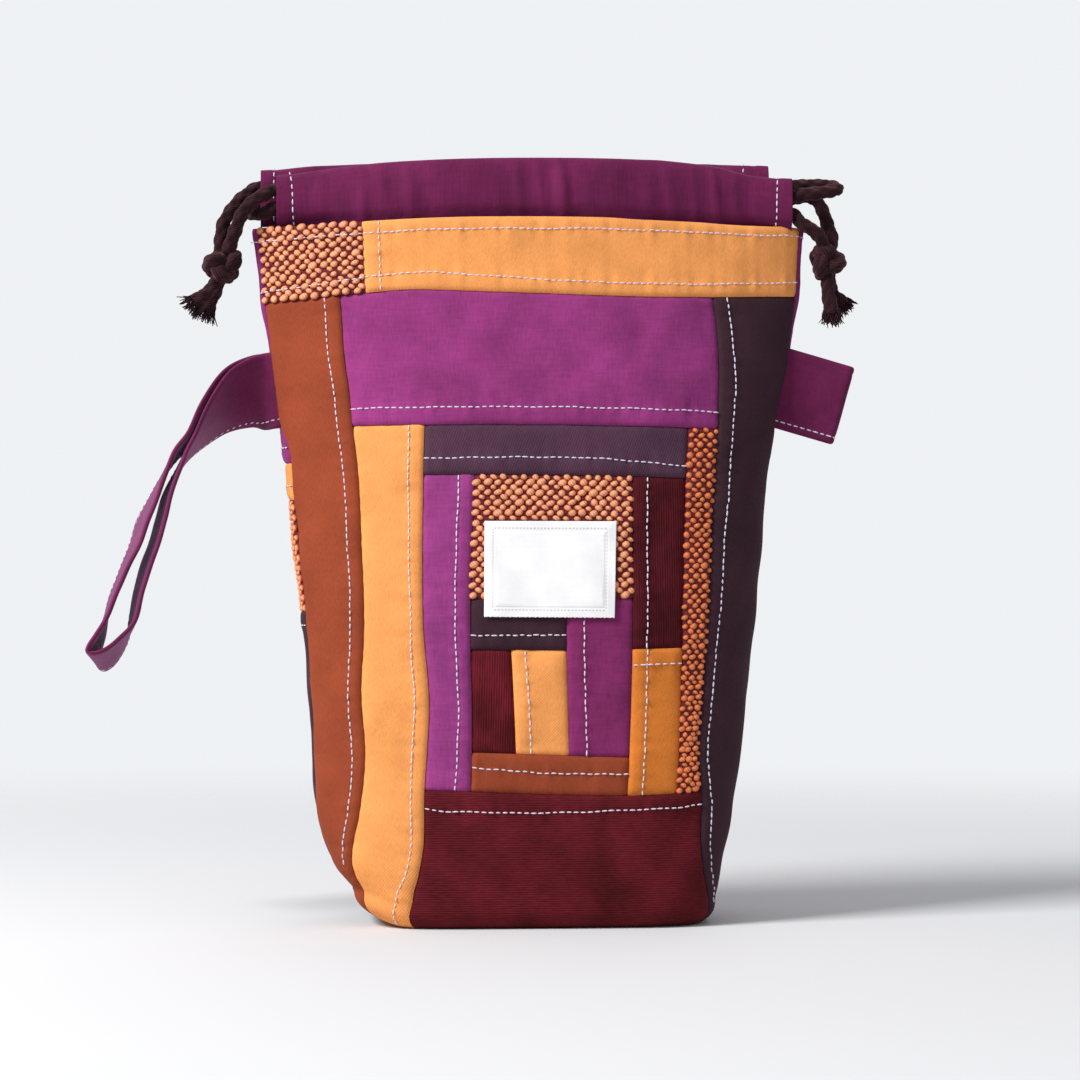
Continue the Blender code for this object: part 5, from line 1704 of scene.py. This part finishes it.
# %% [markdown]
# Near the bag the two layers of the wrist loop lie on each other, and lower down they part
# and go round. A station is a middle point and the direction of the strap's width there, so
# turning that direction step by step gives the twist that the photo shows.

# %% Wrist loop
stack = [
    ((-91, 0, 199.2), (-0.19, 0, 1)),
    ((-98.3, 0, 198.2), (-0.19, 0, 1)),
    ((-103.6, 0, 197.2), (-0.12, -0.3, 0.95)),
    ((-110.4, -0.4, 195.2), (0, -0.6, 0.8)),
    ((-118.6, -1, 188.8), (0, -0.85, 0.53)),
    ((-126, -1, 180.2), (0, -0.98, 0.2)),
]
legs = (
    ((-131, 171.8), (0.08, 0.1)), ((-136.6, 159.3), (0.14, 0)), ((-138.9, 150.4), (0.16, 0)),
    ((-141.5, 141.5), (0.16, 0)), ((-144.5, 132.6), (0.17, 0)), ((-147.2, 123.7), (0.15, 0)),
    ((-149, 114.8), (0.14, 0.03)), ((-150.6, 108.8), (0.1, 0.12)), ((-153.6, 103.6), (0.04, 0.22)),
    ((-157.6, 99.2), (0, 0.28)), ((-161.6, 97), (-0.03, 0.28)), ((-164.4, 98.2), (-0.08, 0.2)),
    ((-163.8, 102), (-0.1, 0.08)), ((-161.9, 106.5), (-0.06, 0.02)), ((-159, 114.8), (0.08, 0)),
    ((-155.9, 123.7), (0.12, 0)), ((-152.3, 132.6), (0.14, 0)), ((-148.4, 141.5), (0.18, 0)),
    ((-145.3, 150.4), (0.19, 0)), ((-141.3, 159.3), (0.14, 0)), ((-134.9, 172.4), (0.06, 0.1)),
)
middles = in_mm(*(m for m, _ in stack))
front_layer, back_layer = [], []
for i, (middle, edge) in enumerate(stack):
    ahead = middles[min(i + 1, len(stack) - 1)] - middles[max(i - 1, 0)]
    ahead /= np.linalg.norm(ahead)
    wide = np.array(edge, float)
    wide -= ahead * wide.dot(ahead)
    away = np.cross(ahead, wide)
    away *= STRAP_SPACE / 2 / np.linalg.norm(away)
    front_layer.append(np.concatenate([middles[i] - away, wide]))
    back_layer.append(np.concatenate([middles[i] + away, wide]))
loop = front_layer + [
    np.array((x * MM, 0, z * MM, right, -1, up)) for (x, z), (right, up) in legs
]
loop += back_layer[::-1]
# The wrist loop's finish is the darkened violet, as painted shade.
wrist_lines, wrist_length = strap(
    "wrist_loop", smooth_path(loop, 1.2 * MM), FINISHES["violet_strap"]
)
print("wrist loop cloth", round(wrist_length * 1000), "mm")

# %% [markdown]
# The short loop is a strap folded in half: out along its lower layer, round a half turn, and
# back. It droops a little, because it is soft and held at one end only.

# %% Short loop
TAB_DROOP = math.radians(16)
along = np.array([math.cos(TAB_DROOP), 0, -math.sin(TAB_DROOP)])
edge = np.array([math.sin(TAB_DROOP), 0, math.cos(TAB_DROOP)])
TAB_ROOT_HIDDEN = 6 * MM
root = np.array([96.5 * MM, 0, 199.5 * MM]) - along * TAB_ROOT_HIDDEN
radius = STRAP_SPACE / 2
straight = 22.2 * MM - radius + TAB_ROOT_HIDDEN


def tab_station(reach, y):
    """A station of the short loop, some way out from its hidden root."""
    return np.concatenate([root + along * reach + np.array([0, y, 0]), edge])


tab = [tab_station(straight * k / 3, -radius) for k in range(4)]
for k in range(1, 6):
    a = math.pi * k / 6 - math.pi / 2
    tab.append(tab_station(straight + radius * math.cos(a), radius * math.sin(a)))
tab += [tab_station(straight * k / 3, radius) for k in range(3, -1, -1)]
# The short loop is in the darkened violet, as painted shade.
short_lines, short_length = strap(
    "short_loop", smooth_path(tab, 0.8 * MM), FINISHES["violet_painted_deep_shade"], 2.6 * MM, 30.4 * MM
)
sew("topstitching_loops", wrist_lines + short_lines)
print("short loop cloth", round(short_length * 1000), "mm")

# %% [markdown]
# The label is a bare piece of ribbed white tape with a double dashed border. The border is
# woven in and isn't a thread on top, so it is a grey mark in the finish: how grey a point is
# comes from its `place`, and is kept in an attribute of its own, called `border`.


# %% Label
DASH = 1.3 * MM


def label_finish():
    """White ribbed tape, with grey where the border is marked."""
    material, tree, shader, place = new_finish("woven_label", 0.6, 0.15)
    ribs = bands(tree, place, 0.45 * MM, 0.2, "Y")
    ends = bands(tree, place, 0.55 * MM, 0.2, "X")
    soft = clouds(tree, place, 9 * MM, 3, 2.0)
    # Painted shade: the tape is darker in the hollows of its soft bumps and between its ribs.
    base = ramp(tree, soft, shade(LABEL, 0.95), shade(LABEL, 1.04))
    lines = ramp(tree, ribs, (0.93, 0.93, 0.94), (1, 1, 1), 0.2, 0.7)
    base = blended(tree, 0.6, base, lines, "MULTIPLY")
    mark = tree.nodes.new("ShaderNodeAttribute")
    mark.attribute_name = "border"
    grey = tree.nodes.new("ShaderNodeRGB")
    grey.outputs[0].default_value = (0.42, 0.42, 0.46, 1)
    base = blended(tree, mark.outputs["Fac"], base, grey.outputs[0])
    tree.links.new(base, shader.inputs["Base Color"])
    raised(tree, shader, ((soft, 0.3 * MM, 0.4), (ribs, 0.05 * MM, 0.4), (ends, 0.04 * MM, 0.3)))
    return material


u, v = np.meshgrid(np.linspace(0, 1, 195), np.linspace(0, 1, 141))
flat_s = LABEL_S + (u - 0.5) * LABEL_WIDTH
flat_t = LABEL_T + (v - 0.5) * LABEL_HEIGHT
fray = 0.13 * MM * np.sin(flat_s / MM * 4.3) * np.sin(flat_s / MM * 0.9) * np.clip(1 - v * 30, 0, 1)
s = flat_s - ((u - 0.5) * 0.8 + 1) * MM * (1 - v)
t = flat_t + fray - 0.45 * MM * u * (1 - v)
a, b = s / MM, t / MM
swell = 0.5 * MM * np.sin(a / 6.1 + b / 9) * np.sin(b / 7.7 + 1)
swell = swell + 0.15 * MM * np.sin(a / 2.9 + b / 5)
from_edge = np.minimum(np.minimum(u, 1 - u) * LABEL_WIDTH, np.minimum(v, 1 - v) * LABEL_HEIGHT)
held = np.clip(from_edge / (5 * MM), 0, 1)
rise = 1.6 * MM + swell * held - 0.1 * MM * np.exp(-(((from_edge - 3.5 * MM) / (0.5 * MM)) ** 2))
outer = cloth_point(-1, s, t, rise)
inner = cloth_point(-1, s, t, rise - 0.45 * MM)
place = np.stack([flat_s, flat_t, np.zeros_like(s)], axis=-1)
label = mesh_from_grid("label_tape", outer, inner, place, label_finish())
border = label.data.attributes.new("border", "FLOAT", "POINT")
where = np.zeros(len(label.data.vertices) * 3, np.float32)
label.data.attributes["place"].data.foreach_get("vector", where)
where = where.reshape(-1, 3)
du = np.abs(where[:, 0] - LABEL_S) / MM
dv = np.abs(where[:, 1] - LABEL_T) / MM
dash = (np.sin(where[:, 0] * 2 * math.pi / DASH) > -0.3) | (dv < 14.6)
dash &= (np.sin(where[:, 1] * 2 * math.pi / DASH) > -0.3) | (dv > 14.6)
ring_a = np.abs(np.maximum(du - 21.0, dv - 14.8)) < 0.22
ring_b = np.abs(np.maximum(du - 20.0, dv - 13.8)) < 0.16
border.data.foreach_set("value", ((ring_a * 0.75 + ring_b * 0.5) * dash).astype(np.float32))
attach(label, "root")
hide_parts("label")
print("label faces:", len(label.data.polygons))

# %% [markdown]
# ## Floor and light
# A plain pale floor takes the shadow. It fades out with distance, so that no edge of it is
# seen against the world behind it.

# %% Floor
FADE_FROM = 0.22
FADE_TO = 1.0

bpy.ops.mesh.primitive_plane_add(size=8)
floor = bpy.context.object
floor.name = "floor"
floor_finish = bpy.data.materials.new("pale_floor")
floor_finish.use_nodes = True
tree = floor_finish.node_tree
surface = tree.nodes["Principled BSDF"]
surface.inputs["Base Color"].default_value = (0.66, 0.66, 0.67, 1)
surface.inputs["Roughness"].default_value = 0.9
surface.inputs["Specular IOR Level"].default_value = 0.1
spot = tree.nodes.new("ShaderNodeTexCoord")
away = tree.nodes.new("ShaderNodeVectorMath")
away.operation = "LENGTH"
fade = tree.nodes.new("ShaderNodeMapRange")
fade.interpolation_type = "SMOOTHSTEP"
fade.inputs["From Min"].default_value = FADE_FROM
fade.inputs["From Max"].default_value = FADE_TO
clear = tree.nodes.new("ShaderNodeBsdfTransparent")
blend = tree.nodes.new("ShaderNodeMixShader")
tree.links.new(spot.outputs["Object"], away.inputs[0])
tree.links.new(away.outputs["Value"], fade.inputs["Value"])
tree.links.new(fade.outputs["Result"], blend.inputs[0])
tree.links.new(surface.outputs[0], blend.inputs[1])
tree.links.new(clear.outputs[0], blend.inputs[2])
tree.links.new(blend.outputs[0], tree.nodes["Material Output"].inputs["Surface"])
floor.data.materials.append(floor_finish)
print("floor fades from", FADE_FROM, "to", FADE_TO, "m away")

# %% [markdown]
# A soft window from the upper left does most of the work, and a weak fill and a back light
# open the shadows. The world is brighter to the camera and to reflections than it is as a
# source of light, so that it doesn't flood the bag.

# %% World and lamps
world = bpy.data.worlds.new("studio")
bpy.context.scene.world = world
world.use_nodes = True
tree = world.node_tree
light = tree.nodes["Background"]
light.inputs["Color"].default_value = (0.93, 0.95, 1.0, 1)
light.inputs["Strength"].default_value = 0.45
seen = tree.nodes.new("ShaderNodeBackground")
seen.inputs["Color"].default_value = (0.86, 0.88, 0.90, 1)
seen.inputs["Strength"].default_value = 1.0
path = tree.nodes.new("ShaderNodeLightPath")
either = tree.nodes.new("ShaderNodeMath")
either.operation = "MAXIMUM"
tree.links.new(path.outputs["Is Camera Ray"], either.inputs[0])
tree.links.new(path.outputs["Is Glossy Ray"], either.inputs[1])
mix = tree.nodes.new("ShaderNodeMixShader")
tree.links.new(either.outputs[0], mix.inputs[0])
tree.links.new(light.outputs[0], mix.inputs[1])
tree.links.new(seen.outputs[0], mix.inputs[2])
tree.links.new(mix.outputs[0], tree.nodes["World Output"].inputs["Surface"])


def lamp(name, spot, size, power):
    """A soft rectangular lamp that looks at the middle of the bag."""
    data = bpy.data.lights.new(name, "AREA")
    data.shape = "RECTANGLE"
    data.size, data.size_y = size
    data.energy = power
    obj = bpy.data.objects.new(name, data)
    obj.location = spot
    aim = Vector((0, 0, 0.13)) - Vector(spot)
    obj.rotation_euler = aim.to_track_quat("-Z", "Y").to_euler()
    bpy.context.scene.collection.objects.link(obj)


lamp("window", (-1.2, -0.68, 1.25), (0.6, 0.6), 42)
lamp("fill", (1.1, -1.5, 0.5), (1.2, 1.2), 2.0)
lamp("back_light", (0.3, 1.4, 1.3), (1.2, 0.8), 5)
bpy.context.scene.view_settings.view_transform = "Standard"
print("lamps:", ", ".join(data.name for data in bpy.data.lights))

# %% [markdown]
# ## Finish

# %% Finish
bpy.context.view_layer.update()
